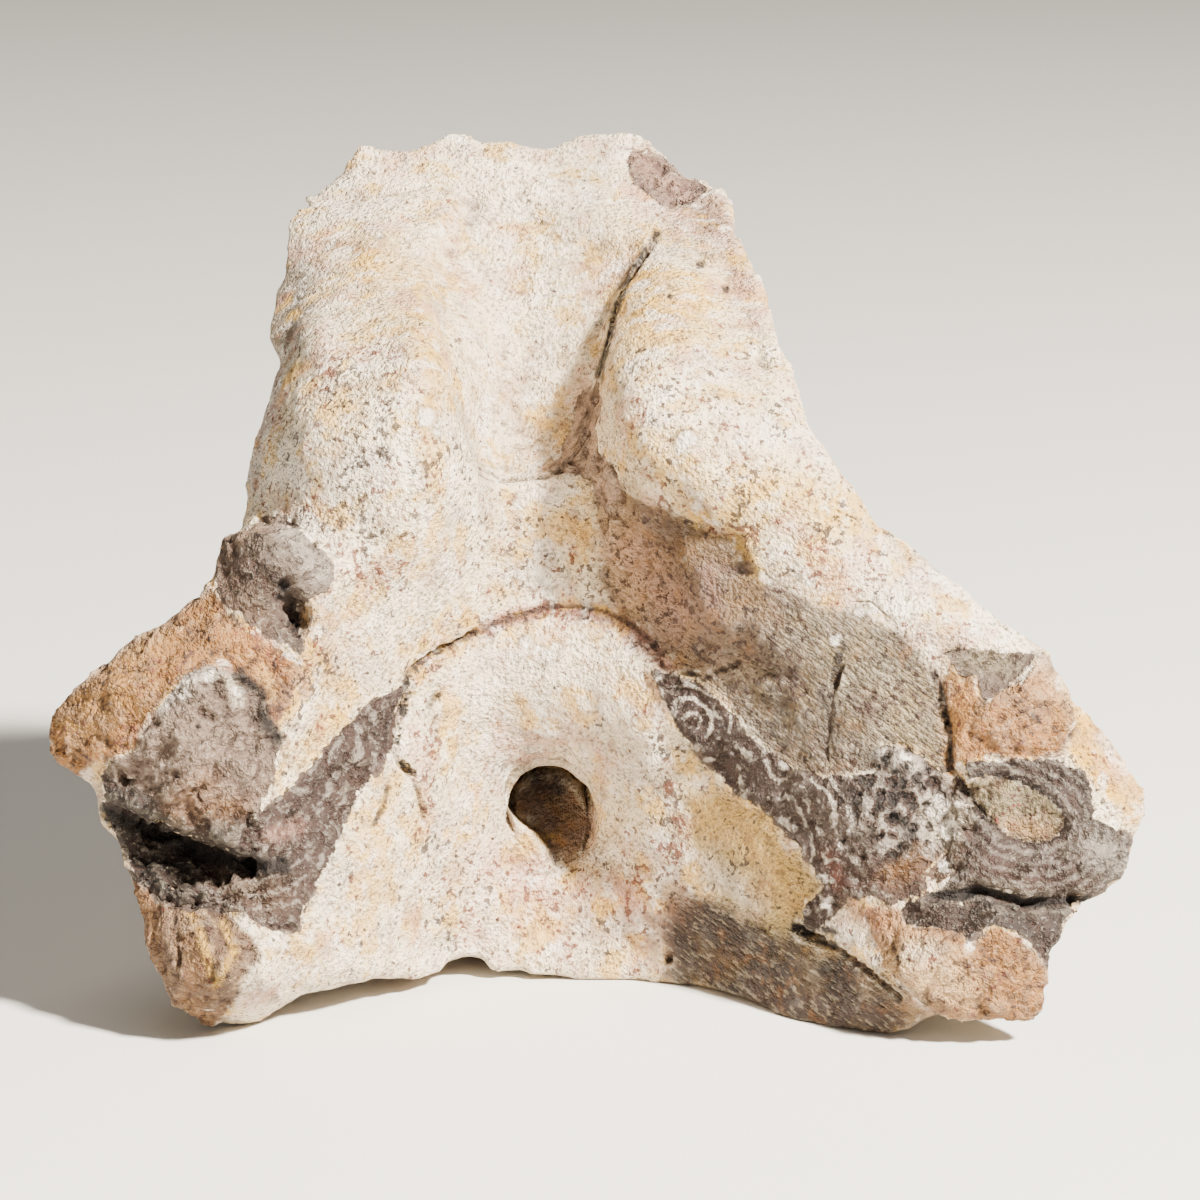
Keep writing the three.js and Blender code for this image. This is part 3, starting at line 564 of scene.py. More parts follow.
# Rock that clings to the bone: how far it stands proud and how rough it is, in millimetres.
ROCK = {
    "left_knob": Patch(((-38.1, 5), (-37.4, 6.6), (-35.5, 7.3), (-33.8, 8.5), (-32, 8.8), (-30, 7.5),
        (-28.2, 5.5), (-26.4, 3.5), (-27, 1), (-28.8, 0.2), (-30, -0.7), (-29.7, -4), (-30, -5.7),
        (-31.5, -4.5), (-33.2, -4), (-35, -2.5), (-36.4, -1.2), (-37.8, 0), (-38.5, 1.5), (-38.3, 3.5)),
        step=0.15, rough=0.6, tone=Tone.SLATE),
    "left_plug": Patch(((-46, -13.5), (-44, -10.3), (-41.7, -7.6), (-39.1, -6.5), (-35.8, -7.4), (-34, -9),
        (-33.3, -12.5), (-31.5, -13.8), (-32.5, -18.1), (-34.6, -21.9), (-37.6, -21.7), (-40.7, -22.2),
        (-43.5, -21.2), (-46.3, -20), (-49.3, -20), (-50.2, -17.5), (-48.6, -15.7), (-46.3, -15)), step=0.3,
        rough=0.75, tone=Tone.GREY_ROCK),
    # Dark rock under the left ledge: its tone is partly the rock's own and partly painted shadow cast by the
    # ledge.
    "left_hollow": Patch(((-50.2, -17), (-49.6, -20.3), (-48.6, -24), (-47, -27.6), (-44.5, -30.2),
        (-41, -31.2), (-38, -31.4), (-34, -31), (-31.5, -27.6), (-30.6, -25.4), (-34, -22.6), (-37, -20.6),
        (-42, -21), (-46.3, -18.6)), rough=0.5, tone=Tone.PEAT),
    "left_seam": Patch(((-18.7, -8.1), (-20.3, -11), (-20.5, -14.8), (-21.1, -16), (-22.4, -17.5),
        (-23.6, -18.8), (-24.7, -20.8), (-25.7, -22.9), (-26.4, -24.7), (-27.5, -27), (-28.5, -29.3),
        (-29.5, -31.1), (-30, -33.3), (-33, -33), (-35.5, -31.5), (-38, -30.5), (-40, -29), (-41, -27),
        (-38.5, -26.2), (-36, -26.2), (-33.8, -26.2), (-36.5, -24.6), (-37.2, -23.8), (-34.6, -21.9),
        (-32.5, -20.1), (-28.9, -16.8), (-26.9, -14), (-24.5, -11.5), (-21.8, -9.2)), step=-0.2, rough=0.6,
        tone=Tone.MAUVE_ROCK),
    "right_vein": Patch(((4.6, -6.6), (7.2, -7.2), (10, -8.4), (12, -10), (14.3, -12.5), (16.5, -14.8),
        (18.4, -16.2), (21, -17.2), (22.4, -17.6), (25, -17.4), (27.5, -16.8), (27, -15.2), (28.1, -14.5),
        (30, -14.8), (31.9, -15.5), (34, -16.8), (35.7, -18.1), (36.5, -19.7), (36.7, -22.7), (35.5, -24.5),
        (34, -25.8), (32.5, -27), (33, -29), (30, -30.3), (27, -29.8), (24.5, -30), (23.5, -31.5),
        (22.2, -33), (20.6, -34), (19.8, -33.2), (20.1, -32), (20.4, -30.2), (22.4, -28.5), (21.6, -27.9),
        (19.9, -24.9), (16.8, -21.6), (13, -19), (10.2, -15.8), (8, -13.6), (6.8, -11.2), (5.9, -9.2)),
        step=0.25, rough=0.4, tone=Tone.MAUVE_ROCK),
    "right_rim": Patch(((36.1, -16.4), (38.4, -15.8), (43.7, -15.8), (46, -15.8), (48.4, -17.3),
        (49.3, -19.3), (49.5, -21.7), (51.5, -22.5), (53.9, -24), (53.9, -27.6), (49.3, -30.4), (47.5, -29.8),
        (42.5, -29.8), (38.1, -28.6), (35.2, -29.5), (33.7, -29), (35.8, -25.8), (37, -23.5), (36.7, -20.5),
        (36.7, -18.2)), step=0.1, rough=0.4, tone=Tone.DUN_ROCK),
    "right_join": Patch(((34.4, -17.2), (36.9, -17.8), (37.2, -20.4), (37.4, -23.4), (36.4, -25.8),
        (34.4, -28.8), (32.2, -27.6), (34.4, -25.6), (35.8, -23), (36, -20)), step=-0.1, rough=0.3,
        tone=Tone.BARK),
    "right_crevice": Patch(((33, -29), (38, -28.4), (42.5, -29.4), (47.5, -29.4), (49, -30.4), (44.3, -30.9),
        (38.4, -31.2), (35.2, -30.5), (31, -30.4)), rough=0.2, tone=Tone.PEAT),
    "right_wedge": Patch(((33.1, -5.6), (36.1, -4.5), (38.4, -5), (41.1, -5.3), (43.7, -5.3), (42.5, -7.3),
        (40.8, -8.8), (38.4, -10.3), (37.8, -9.1), (37.5, -7.6), (36.1, -7.9), (34.9, -5.9)), step=-0.1,
        rough=0.45, tone=Tone.SLATE),
    "right_band": Patch(((30.8, -29.9), (35.2, -29.9), (38.4, -30.5), (44.3, -30.2), (46.9, -30.2),
        (47.8, -31.1), (46.3, -32.6), (45.8, -34.6), (44.9, -37), (43.7, -35.2), (42.2, -33.7), (39.6, -32.6),
        (38.4, -32.8), (36.7, -35.2), (36.4, -33.1), (33.1, -32.8), (30.5, -32.6), (30.2, -31.1)), step=0.1,
        rough=0.4, tone=Tone.PEAT),
    "trough_end": Patch(((-0.3, 22), (0.4, 20), (-0.2, 17), (0, 15), (1.2, 13.5), (2.4, 11.5), (2.2, 9.5),
        (1, 8.5), (-0.4, 10), (-1.4, 12), (-3, 12.5), (-4.4, 12.2), (-5.2, 13), (-3.8, 15), (-2.8, 18),
        (-2, 20.5)), step=-0.25, rough=0.5, tone=Tone.FAWN),
    "beak_top": Patch(((2.6, 45.3), (6.1, 44.7), (8.4, 42.4), (10.7, 41.2), (11.2, 40.4), (8.9, 39.5),
        (6.1, 39.2), (3.8, 41.2), (2.3, 43.8)), step=0.1, rough=0.5, tone=Tone.SLATE),
}

# Crystal rock that is full of small deep pits.
SPONGE = Patch(((25.6, -15.6), (28.4, -14.4), (32, -15.2), (35.4, -17.8), (36.8, -21), (36, -25), (33.4, -27),
    (29, -26.6), (25.6, -25.4), (23.6, -22), (24, -18)))

# Faces where the bone has broken across, which show its coarse tan grain.
BREAKS = {
    "left_wedge": Patch(((-56.5, -13.8), (-55.6, -11.3), (-54.2, -9.4), (-50.4, -6.2), (-45.4, -2.6),
        (-39.1, 1.6), (-37.2, -1.2), (-35.3, -2.8), (-32.5, -5), (-30, -5.9), (-30, -8), (-31, -10.5),
        (-32.5, -12.7), (-33.8, -10), (-36, -7.6), (-37.9, -6.4), (-39.5, -6.4), (-41.7, -7.6), (-44, -10.3),
        (-46, -13), (-46.3, -15), (-48.6, -15.7), (-50.1, -16.1), (-52.2, -17.6), (-55.6, -16.6)), rough=0.5,
        tone=Tone.TAN),
    "left_plate": Patch(((-48.6, -24.5), (-47.6, -27), (-46.1, -33.5), (-44.6, -38.5), (-41.6, -42.4),
        (-39.5, -43.4), (-37.4, -41.8), (-36, -38.5), (-34.8, -37.5), (-33.8, -35.5), (-35, -33.5),
        (-37.5, -30.5), (-40.5, -28), (-43, -26.5), (-46, -24)), rough=0.5, tone=Tone.CLAY),
    "right_wing": Patch(((34, -9), (34.9, -5.9), (36.1, -7.9), (37.5, -7.6), (37.8, -9.1), (38.4, -10.3),
        (40.8, -8.8), (42.5, -7.3), (43.7, -5.3), (45.5, -5.5), (46, -9), (47.5, -11), (47, -13.5),
        (45.8, -15.7), (43.7, -15.8), (38.4, -15.8), (36.1, -16.4), (35, -17.5), (34.9, -14.5),
        (34.5, -11.5)), step=0.1, rough=0.45, tone=Tone.TAN),
    "right_oval": Patch(((36.7, -18.2), (38.4, -17.3), (40.8, -17.6), (43.7, -18.8), (46, -20.5),
        (46.6, -21.7), (46.3, -23.5), (44.9, -24.3), (42.5, -24.3), (40.8, -23.8), (39, -22.3), (37.5, -20.5),
        (36.7, -19.1)), step=-0.5, rough=0.15, tone=Tone.OLIVE),
    "right_foot": Patch(((26.2, -30.5), (30.2, -31.1), (30.5, -32.6), (33.1, -32.8), (36.4, -33.1),
        (36.7, -35.2), (38.4, -32.8), (39.6, -32.6), (42.2, -33.7), (43.7, -35.2), (44.9, -37), (45.6, -40),
        (44.6, -42.8), (40, -42.8), (36.7, -43.2), (33.6, -41.4), (30.6, -39.2), (28.2, -36.5), (27, -34)),
        step=0.1, rough=0.4, tone=Tone.TAN),
}

# Cracks and seams: how wide, how deep and how dark they are.
CRACKS = {
    # The trough's crack is drawn dark partly as the painted shadow edge of the right swelling that overhangs
    # it.
    "trough": Line(((5.5, 36), (4, 33.8), (2.5, 31.5), (1.7, 29.5), (1.2, 27), (0.4, 24.5), (0, 22),
        (-1, 20)), 0.5, 1.2, 0.6),
    "trough_foot": Line(((-11.3, 12.8), (-10, 12), (-8, 12.3), (-5.5, 12.2), (-4, 13), (-2.5, 15),
        (-1.5, 17)), 0.3, 0.4, 0.5),
    "left_swelling": Line(((-19, 26.6), (-17.4, 27.4), (-15.4, 26.6), (-14.6, 22), (-13.2, 18), (-12, 14.6),
        (-11.4, 12.4)), 0.12, 0.45, 0.15),
    "arch": Line(((-20, -8), (-18.5, -6.5), (-16.5, -5.5), (-14.5, -4.5), (-12, -3.2), (-10, -2.2),
        (-8, -1.4), (-5.5, -0.7), (-3, -0.6), (-1, -0.8), (1, -1.3), (3, -2.5), (4.5, -4), (5.5, -5.5),
        (6.2, -6.8)), 0.3, 0.3, 0.3),
    "arch_end": Line(((-19.4, -8.2), (-18.6, -7), (-16.5, -5.4), (-14.6, -4.5), (-12.4, -3.3)), 0.4, 0.7,
        0.75),
    "left_bone": Line(((-18.9, -9.4), (-19.9, -12), (-20.4, -14.4), (-19.8, -16.2), (-18.7, -17.3)), 0.7, 1.1,
        0.95),
    "left_joint": Line(((-18.7, -17.3), (-18, -19.2), (-17.4, -21.8)), 0.4, 0.5, 0.6),
    "left_flake": Line(((-21.2, -18.9), (-21.4, -20.3), (-22.5, -22.4)), 0.5, 0.6, 0.7),
    "left_pit": Line(((-16.2, -9.6), (-16.8, -10.6)), 0.6, 0.9, 0.8),
    "right_wall": Line(((24.2, -4.3), (23.7, -7.4), (23, -9.9), (22.7, -11.5), (22.2, -14.5), (22.4, -16.1)),
        0.35, 0.4, 0.55),
    "right_wall_top": Line(((24.2, -4.3), (23.7, -6.4), (23.2, -8.4)), 0.6, 0.8, 0.85),
    "right_wall_pit": Line(((24, -4.3), (24.5, -4.7)), 0.7, 1, 0.8),
    "right_flake": Line(((7.9, -7.6), (8.9, -7.4), (10.2, -8.1), (11.2, -7.4), (13.3, -6.6)), 0.3, 0.5, 0.5),
    "right_seam": Line(((30.1, -3.3), (32.4, -5.6), (33.9, -8.4), (34.5, -10.5), (34.7, -12.2), (34.9, -14.5),
        (34.9, -16.5), (35.7, -18), (37, -20), (39, -22.2)), 0.4, 0.8, 0.7),
    "right_edge": Line(((25.3, -0.5), (26.8, -0.5), (28.5, -1.7), (30.1, -3.3)), 0.25, 0.4, 0.4),
    "right_foot": Line(((19.8, -33.2), (21.5, -34.2), (23.5, -34.8), (26, -36.5), (27.8, -38.2), (30, -40)),
        0.35, 0.8, 0.7),
    "right_pit": Line(((19.6, -32.8), (20.4, -33.5), (22, -34)), 0.7, 1.2, 0.9),
    "rear_pit": Line(((6.8, -35.8), (6.8, -36)), 0.6, 0.8, 0.8),
    "left_plate": Line(((-42.3, -28.5), (-42.4, -32), (-42.2, -36.5)), 0.25, 0.5, 0.4),
}

# Where the bone is full of dark red and violet specks.
SPECKLED = (
    Stroke(((-18, -7), (-12, -3.2), (-5, -0.9), (2, -2.2), (6.4, -6)), 1, 0.9),
    Stroke(((-26, 22), (-22, 14), (-24, 6)), 5, 0.7),
    Stroke(((-16, 15), (-20, 9)), 3, 0.6),
    Stroke(((8, 22), (16, 12), (24, 6)), 5, 0.5),
    Stroke(((6, 13), (12, 8), (18, 4.4)), 2, 0.7),
    Stroke(((-12, -27), (-4, -31), (4, -30)), 5, 0.7),
    Stroke(((6, -14), (7, -20), (7.6, -29)), 1.8),
    Stroke(((-28, -6), (-32, -16)), 3, 0.5),
    Stroke(((3, 2), (10, -3), (20, -8), (29, -11)), 6, 0.6),
    Stroke(((-10, 10), (-9.6, 2)), 1.6, 0.6),
    Stroke(((-17, -14), (-17.4, -26), (-15, -34)), 1.4, 0.9),
)

# Smooth bone with few specks: the trough, and the ground round the foramen.
SMOOTH = (
    Stroke(((-6, 44), (-6, 18)), 7),
    Stroke(((-4, -8), (-6, -24)), 9),
)

# The areas whose stain hides the chalky bone; on the right lip and the striated bone their dark is partly
# painted shade.
STAINED = ("right_wall", "right_wall_brown", "striated", "ochre", "right_lip", "foramen")

# The middle of the left wall, where the bone is fibrous.
LEFT_WALL = Line(((-20, 0), (-27, -12), (-36, -32)))

# Pits: across, up and radius.
PITS = each(Spot,
    (28.6, -15.6, 0.8), (30.8, -15.2, 0.7), (29.6, -17.2, 0.6), (31.8, -17.6, 0.8), (28.2, -19.2, 0.6),
    (30.4, -19.8, 0.8), (32.6, -20.4, 0.6), (29.2, -21.6, 0.7), (31.4, -22.8, 0.9), (28, -23.6, 0.6),
    (30, -24.6, 0.6), (32.6, -24.2, 0.5), (27.2, -21.4, 0.5), (26.4, -25.6, 0.6), (26, -19.4, 0.5),
    (24.4, -24.2, 0.4), (-31.6, 1.4, 0.9), (-32.2, 0.2, 0.7), (-31, -2.4, 0.4), (-40.2, -12.6, 0.4),
    (10, 33.4, 0.7), (12.6, 31, 0.6), (7, 30.4, 0.5),
)

# Mounds, and one dent: across, up, radius and how far each rises.
MOUNDS = each(Spot,
    (-28.4, 26.2, 2.6, 0.5), (36, -21, 1.8, 0.6), (-6.8, -5.2, 1.4, 0.25), (-17.5, 17.8, 1.3, 0.35),
    (8.7, 15.8, 1.3, 0.35), (16.2, 23.4, 1.2, -0.6), (-22.6, 36, 2, 0.5), (33.6, -37, 3.6, 0.5),
    (41, -37.6, 2.2, 0.4), (-47, -9, 3, 0.4), (29.4, -16.4, 1.4, 0.7),
)

# Soft colours of the bone, in the order that they are laid on. A few of them are painted light and painted
# shade, as marked.
BONE_STROKES = (
    Stroke(((-8, 44), (-6, 30), (-6, 18)), 6, 0.8, Tone.PALE),
    Stroke(((-9, 22), (-6, 15)), 2.5, 0.35, Tone.ROSE),
    Stroke(((-5.5, 17), (-6, 13.5)), 1.6, 0.5, Tone.HONEY),
    Stroke(((-28, 43), (-20, 44)), 4, 0.6, Tone.PALE),
    Stroke(((-30, 36), (-28, 40), (-24, 45)), 2.4, 0.5, Tone.ASH),
    Stroke(((-31, 27), (-30.4, 33)), 2.4, 0.75, Tone.SLATE),
    Stroke(((-22, 34), (-17, 32), (-18, 28)), 3.4, 0.5, Tone.HONEY),
    Stroke(((-28, 35.6), (-23, 35)), 1.6, 0.6, Tone.SAND),
    Stroke(((-31, 27.4), (-30, 31)), 1.8, 0.6, Tone.SLATE),
    Stroke(((-18.6, 24.6), (-16.6, 22.6)), 1.6, 0.3, Tone.OLIVE),
    Stroke(((0.6, 43), (1.6, 38), (6, 36)), 2, 0.45, Tone.SAND),
    Stroke(((-7, 20), (-6, 15)), 2.6, 0.4, Tone.SAND),
    Stroke(((2.6, 32), (6, 30), (7, 26)), 3, 0.5, Tone.HONEY),
    Stroke(((13, 33.6), (15, 28)), 1.2, 0.4, Tone.TAN),
    Stroke(((20, 10), (27, 5.4)), 2.4, 0.4, Tone.HONEY),
    Stroke(((2.6, -29), (5, -33)), 2, 0.6, Tone.CLAY),
    Stroke(((-27, 35.8), (-25.6, 35.6)), 0.5, 0.6, Tone.RUST),
    Stroke(((-24.2, 34.9), (-22.6, 34.7), (-21.6, 36)), 0.6, 0.6, Tone.RUST),
    Stroke(((-17.6, 25), (-16, 24)), 2, 0.4, Tone.OCHRE),
    Stroke(((-16.5, 25), (-16, 20)), 2.2, 0.5, Tone.HONEY),
    # Painted light: brightens the left edge of the swelling, which turns away from the lamp.
    Stroke(((-30.6, 13), (-28.6, 11.6), (-29, 9)), 3, 0.8, Tone.CHALK),
    Stroke(((-20, 14), (-15, 12), (-14, 8)), 3.4, 0.55, Tone.PALE),
    Stroke(((-31, 26), (-31.6, 20), (-32.4, 15)), 0.8, 0.4, Tone.UMBER),
    Stroke(((3.6, 31), (5, 27), (10, 30)), 3.4, 0.8, Tone.HONEY),
    Stroke(((4, 33), (3.4, 28)), 1.3, 0.5, Tone.OCHRE),
    Stroke(((14, 20), (9, 12), (20, 12)), 3.2, 0.35, Tone.HONEY),
    Stroke(((-8, 32), (-6, 24), (-6.4, 15)), 3.6, 0.6, Tone.CREAM),
    Stroke(((-9, 20), (-5, 14)), 2.2, 0.35, Tone.TAN),
    Stroke(((-14.6, 20), (-12.8, 16), (-11.6, 12.4), (-11.8, 8)), 0.7, 0.4, Tone.SLATE),
    Stroke(((-16.4, 12), (-13.6, 8), (-13, 4)), 0.6, 0.3, Tone.SLATE),
    Stroke(((11.6, 37.6), (13, 34), (16, 27)), 1, 0.4, Tone.BARK),
    Stroke(((7.6, 37), (7, 34.6)), 0.8, 0.35, Tone.RUST),
    Stroke(((-26, 32), (-22, 30), (-18, 31)), 2.4, 0.3, Tone.TAN),
    Stroke(((-27, 20), (-26.4, 14), (-23, 8)), 2, 0.4, Tone.ASH),
    Stroke(((-24, 22), (-25, 16), (-27.6, 12)), 1.2, 0.35, Tone.OCHRE),
    Stroke(((-15, -2), (-21, -5), (-26, -9)), 2, 0.35, Tone.TAN),
    Stroke(((-3, -12), (-9, -14), (-12, -20)), 3, 0.35, Tone.ASH),
    Stroke(((-16, -12), (-14, -18)), 1.8, 0.35, Tone.HONEY),
    Stroke(((-16.6, -12), (-17.4, -19), (-15.6, -28), (-15, -35)), 0.8, 0.4, Tone.SLATE),
    Stroke(((5.6, -18.6), (7.4, -23), (8, -27)), 1.4, 0.6, Tone.SLATE),
    # Partly painted shade: darkens the lower right of the rear face, which turns from the lamp, over its own
    # brown.
    Stroke(((0.6, -31.6), (4, -30), (7, -31)), 2.4, 0.5, Tone.BARK),
    Stroke(((5, 42.4), (10, 39), (13, 37)), 2, 0.3, Tone.BARK),
    Stroke(((48, -9.6), (51.4, -15), (54, -20)), 2, 0.3, Tone.AMBER),
    Stroke(((5.6, 32), (6.4, 30.8)), 0.6, 0.4, Tone.RUST),
    Stroke(((10.2, 38.4), (9.6, 35)), 1.4, 0.45, Tone.UMBER),
    Stroke(((12.6, 36), (16, 29)), 1.8, 0.5, Tone.ROSE),
    Stroke(((6, 20), (12, 18), (16, 14)), 4, 0.5, Tone.PALE),
    Stroke(((10, 9), (18, 10), (22, 8)), 3, 0.4, Tone.HONEY),
    Stroke(((22, 4), (30, 0), (38, -2.5), (44, -4.6)), 2.6, 0.75, Tone.PALE),
    Stroke(((27, 5.6), (33, 2)), 1.6, 0.45, Tone.ASH),
    Stroke(((-9.2, 10), (-9.6, 5), (-10.2, 0.6)), 1.3, 0.6, Tone.OCHRE),
    Stroke(((-8.4, 10), (-8, 4), (-8.6, 0.6)), 0.7, 0.7, Tone.TAN),
    # Painted light: brightens a streak of the median strip, which the lamp lights less.
    Stroke(((-5.8, 10), (-5.4, 1)), 2, 0.8, Tone.CHALK),
    Stroke(((-1, 7), (2, 4), (3.4, 0)), 2, 0.5, Tone.SAND),
    Stroke(((-18, -6.2), (-14, -4.2), (-9, -1.9), (-4, -0.7), (0, -1), (4.6, -4)), 0.7, 0.8, Tone.RUST),
    Stroke(((-17, -5.6), (-12, -3), (-6, -0.7)), 0.35, 0.5, Tone.BARK),
    Stroke(((-5, -1.6), (0, -2.8), (3.4, -4.4)), 0.8, 0.5, Tone.RUST),
    Stroke(((-3, -0.4), (0.6, -0.9), (2.6, -2)), 0.6, 0.5, Tone.UMBER),
    Stroke(((-9, -12), (-2, -10), (3, -16)), 4.5, 0.55, Tone.ASH),
    Stroke(((-6.4, -6), (-4, -8)), 2.4, 0.6, Tone.PALE),
    Stroke(((-12, -26), (-4, -31), (3, -30)), 4.5, 0.45, Tone.ROSE),
    Stroke(((-14, -36), (-2, -37)), 2.6, 0.5, Tone.PALE),
    Stroke(((-0.6, -30.4), (-0.2, -31.6)), 0.6, 0.6, Tone.OCHRE),
    Stroke(((-6.6, -18.6), (-4, -21.6), (-2.8, -24.6)), 2.6, 0.7, Tone.CLAY),
    Stroke(((-6.8, -18), (-5.2, -19.6), (-4.2, -22)), 2, 0.85, Tone.UMBER),
    Stroke(((-20, 2), (-26, -10), (-33, -22)), 3, 0.4, Tone.CREAM),
    Stroke(((-17, 4), (-20, -3)), 3, 0.5, Tone.PALE),
    Stroke(((-28.6, -0.4), (-27.6, -4), (-28.4, -8)), 2.2, 0.9, Tone.SAND),
    Stroke(((-28.8, -5), (-28.6, -8.2)), 1.2, 0.6, Tone.OCHRE),
    Stroke(((-29.8, -6), (-29.6, -9.4)), 0.5, 0.6, Tone.RUST),
    Stroke(((-23.6, -7.6), (-25.4, -11.4)), 1.2, 0.7, Tone.SAND),
    Stroke(((-31.4, -16), (-26, -11.6)), 1, 0.5, Tone.HONEY),
    Stroke(((-13.4, -3), (-17, -5.6), (-18.6, -7)), 1.4, 0.6, Tone.HONEY),
    Stroke(((-22, -20), (-26, -28), (-30, -34)), 2.6, 0.5, Tone.ASH),
    Stroke(((-20, -24), (-24, -32), (-28, -37)), 3, 0.7, Tone.PALE),
    Stroke(((-19.8, -17), (-21.4, -20), (-24.6, -25)), 1, 0.7, Tone.HONEY),
    Stroke(((-27, -33), (-29, -36)), 0.7, 0.5, Tone.OCHRE),
    Stroke(((-34.6, -39), (-32.6, -39.6)), 1, 0.7, Tone.MAUVE_ROCK),
    Stroke(((10, 0), (16, -4), (26, -10)), 5, 0.5, Tone.SLATE),
    Stroke(((24, -6), (30, -9), (31, -13)), 3.4, 0.6, Tone.OLIVE),
    Stroke(((3, 5), (8, -1)), 2.6, 0.4, Tone.ROSE),
    # Painted shadow: the dark brown band under the crest of the right wall, and the dark below its lip.
    Stroke(((7, 7.4), (11, 6), (14, 4.6)), 1.8, 0.85, Tone.UMBER),
    Stroke(((8.8, 4.2), (12.4, 3.4), (15, 2.2)), 2.3, 0.8, Tone.BARK),
    Stroke(((3, 11), (5, 8.4), (8, 6.4)), 1.4, 0.35, Tone.BARK),
    Stroke(((10.6, 2.8), (11.4, 0.4)), 0.7, 0.4, Tone.RUST),
    Stroke(((10, -21), (15, -24), (20, -30)), 3.2, 0.7, Tone.OCHRE),
    Stroke(((11, -27), (15, -29.6)), 1.8, 0.6, Tone.ASH),
    Stroke(((15.2, -28.8), (17, -29.8)), 1, 0.6, Tone.OCHRE),
    # Partly painted shade: the dark of the lower right bone, which lies in shade, over its own dark stain.
    Stroke(((10, -33), (18, -36.6), (28, -41)), 2.6, 0.5, Tone.PEAT),
    Stroke(((16, -39), (24, -41.6), (32, -41.6)), 1.8, 0.8, Tone.UMBER),
    Stroke(((22.6, -32), (25, -34)), 1.4, 0.7, Tone.ASH),
    Stroke(((-53.6, -9), (-46, -3), (-40, 1.4)), 0.9, 0.75, Tone.ASH),
    Stroke(((-45, -5), (-48, -8), (-53, -13)), 2.2, 0.4, Tone.OCHRE),
    Stroke(((-36, -4), (-33.6, -6), (-32.4, -9)), 2, 0.8, Tone.AMBER),
    Stroke(((-55.4, -13), (-53, -16), (-49, -15.4)), 1.4, 0.6, Tone.AMBER),
    Stroke(((-44, -31), (-43.6, -37), (-41.6, -41.6)), 0.8, 0.7, Tone.BARK),
    Stroke(((-52, -11), (-42, -4), (-35, -5)), 3, 0.6, Tone.TAN),
    Stroke(((-32.6, -6), (-31.6, -9), (-32.2, -11.6)), 1.3, 0.6, Tone.RUST),
    Stroke(((-33.8, -7), (-32.6, -9.6)), 1, 0.5, Tone.OCHRE),
    Stroke(((-34.6, -8.4), (-33.6, -11), (-32.6, -13.2)), 0.8, 0.9, Tone.UMBER),
    Stroke(((-46, -30), (-43, -36), (-40, -41)), 3, 0.7, Tone.TAN),
    Stroke(((-38.6, -32), (-37, -36), (-39, -40)), 1.8, 0.5, Tone.UMBER),
    Stroke(((-41.6, -30), (-40, -33), (-38.8, -37.4)), 0.4, 0.7, Tone.HONEY),
    Stroke(((-37.6, -32.4), (-36.6, -35), (-38.4, -38.6)), 0.4, 0.8, Tone.HONEY),
    Stroke(((-43.4, -30), (-43, -36), (-42.4, -39)), 0.9, 0.6, Tone.SLATE),
    Stroke(((36, -6.6), (37, -9.6), (35.6, -13)), 1.1, 0.8, Tone.OCHRE),
    Stroke(((36.6, -8.6), (36, -13), (38, -15.4)), 1.6, 0.8, Tone.AMBER),
    Stroke(((40, -11), (44, -9), (42, -14)), 2.6, 0.55, Tone.AMBER),
    Stroke(((37, -7), (40, -9.6), (44, -11)), 1.6, 0.6, Tone.CLAY),
    Stroke(((47, -9), (51, -15), (54, -20)), 2, 0.6, Tone.SAND),
    Stroke(((48, -14), (50.6, -18.6)), 1, 0.4, Tone.TAN),
    Stroke(((38.6, -18.8), (42, -20), (44.6, -21.6)), 1.6, 0.6, Tone.OLIVE),
    Stroke(((41, -22.6), (44.6, -23.2)), 1.2, 0.6, Tone.TAN),
    Stroke(((26.4, -30.6), (29, -32), (30, -34)), 1.6, 0.8, Tone.AMBER),
    Stroke(((26.6, -31), (28, -32.6), (28.4, -34.4)), 1, 0.6, Tone.RUST),
    Stroke(((30.6, -36), (35, -38.4)), 3, 0.8, Tone.SAND),
    Stroke(((31, -35.4), (33.4, -35)), 1.2, 0.5, Tone.PALE),
    Stroke(((39, -35), (41, -40)), 1.6, 0.6, Tone.TAN),
)

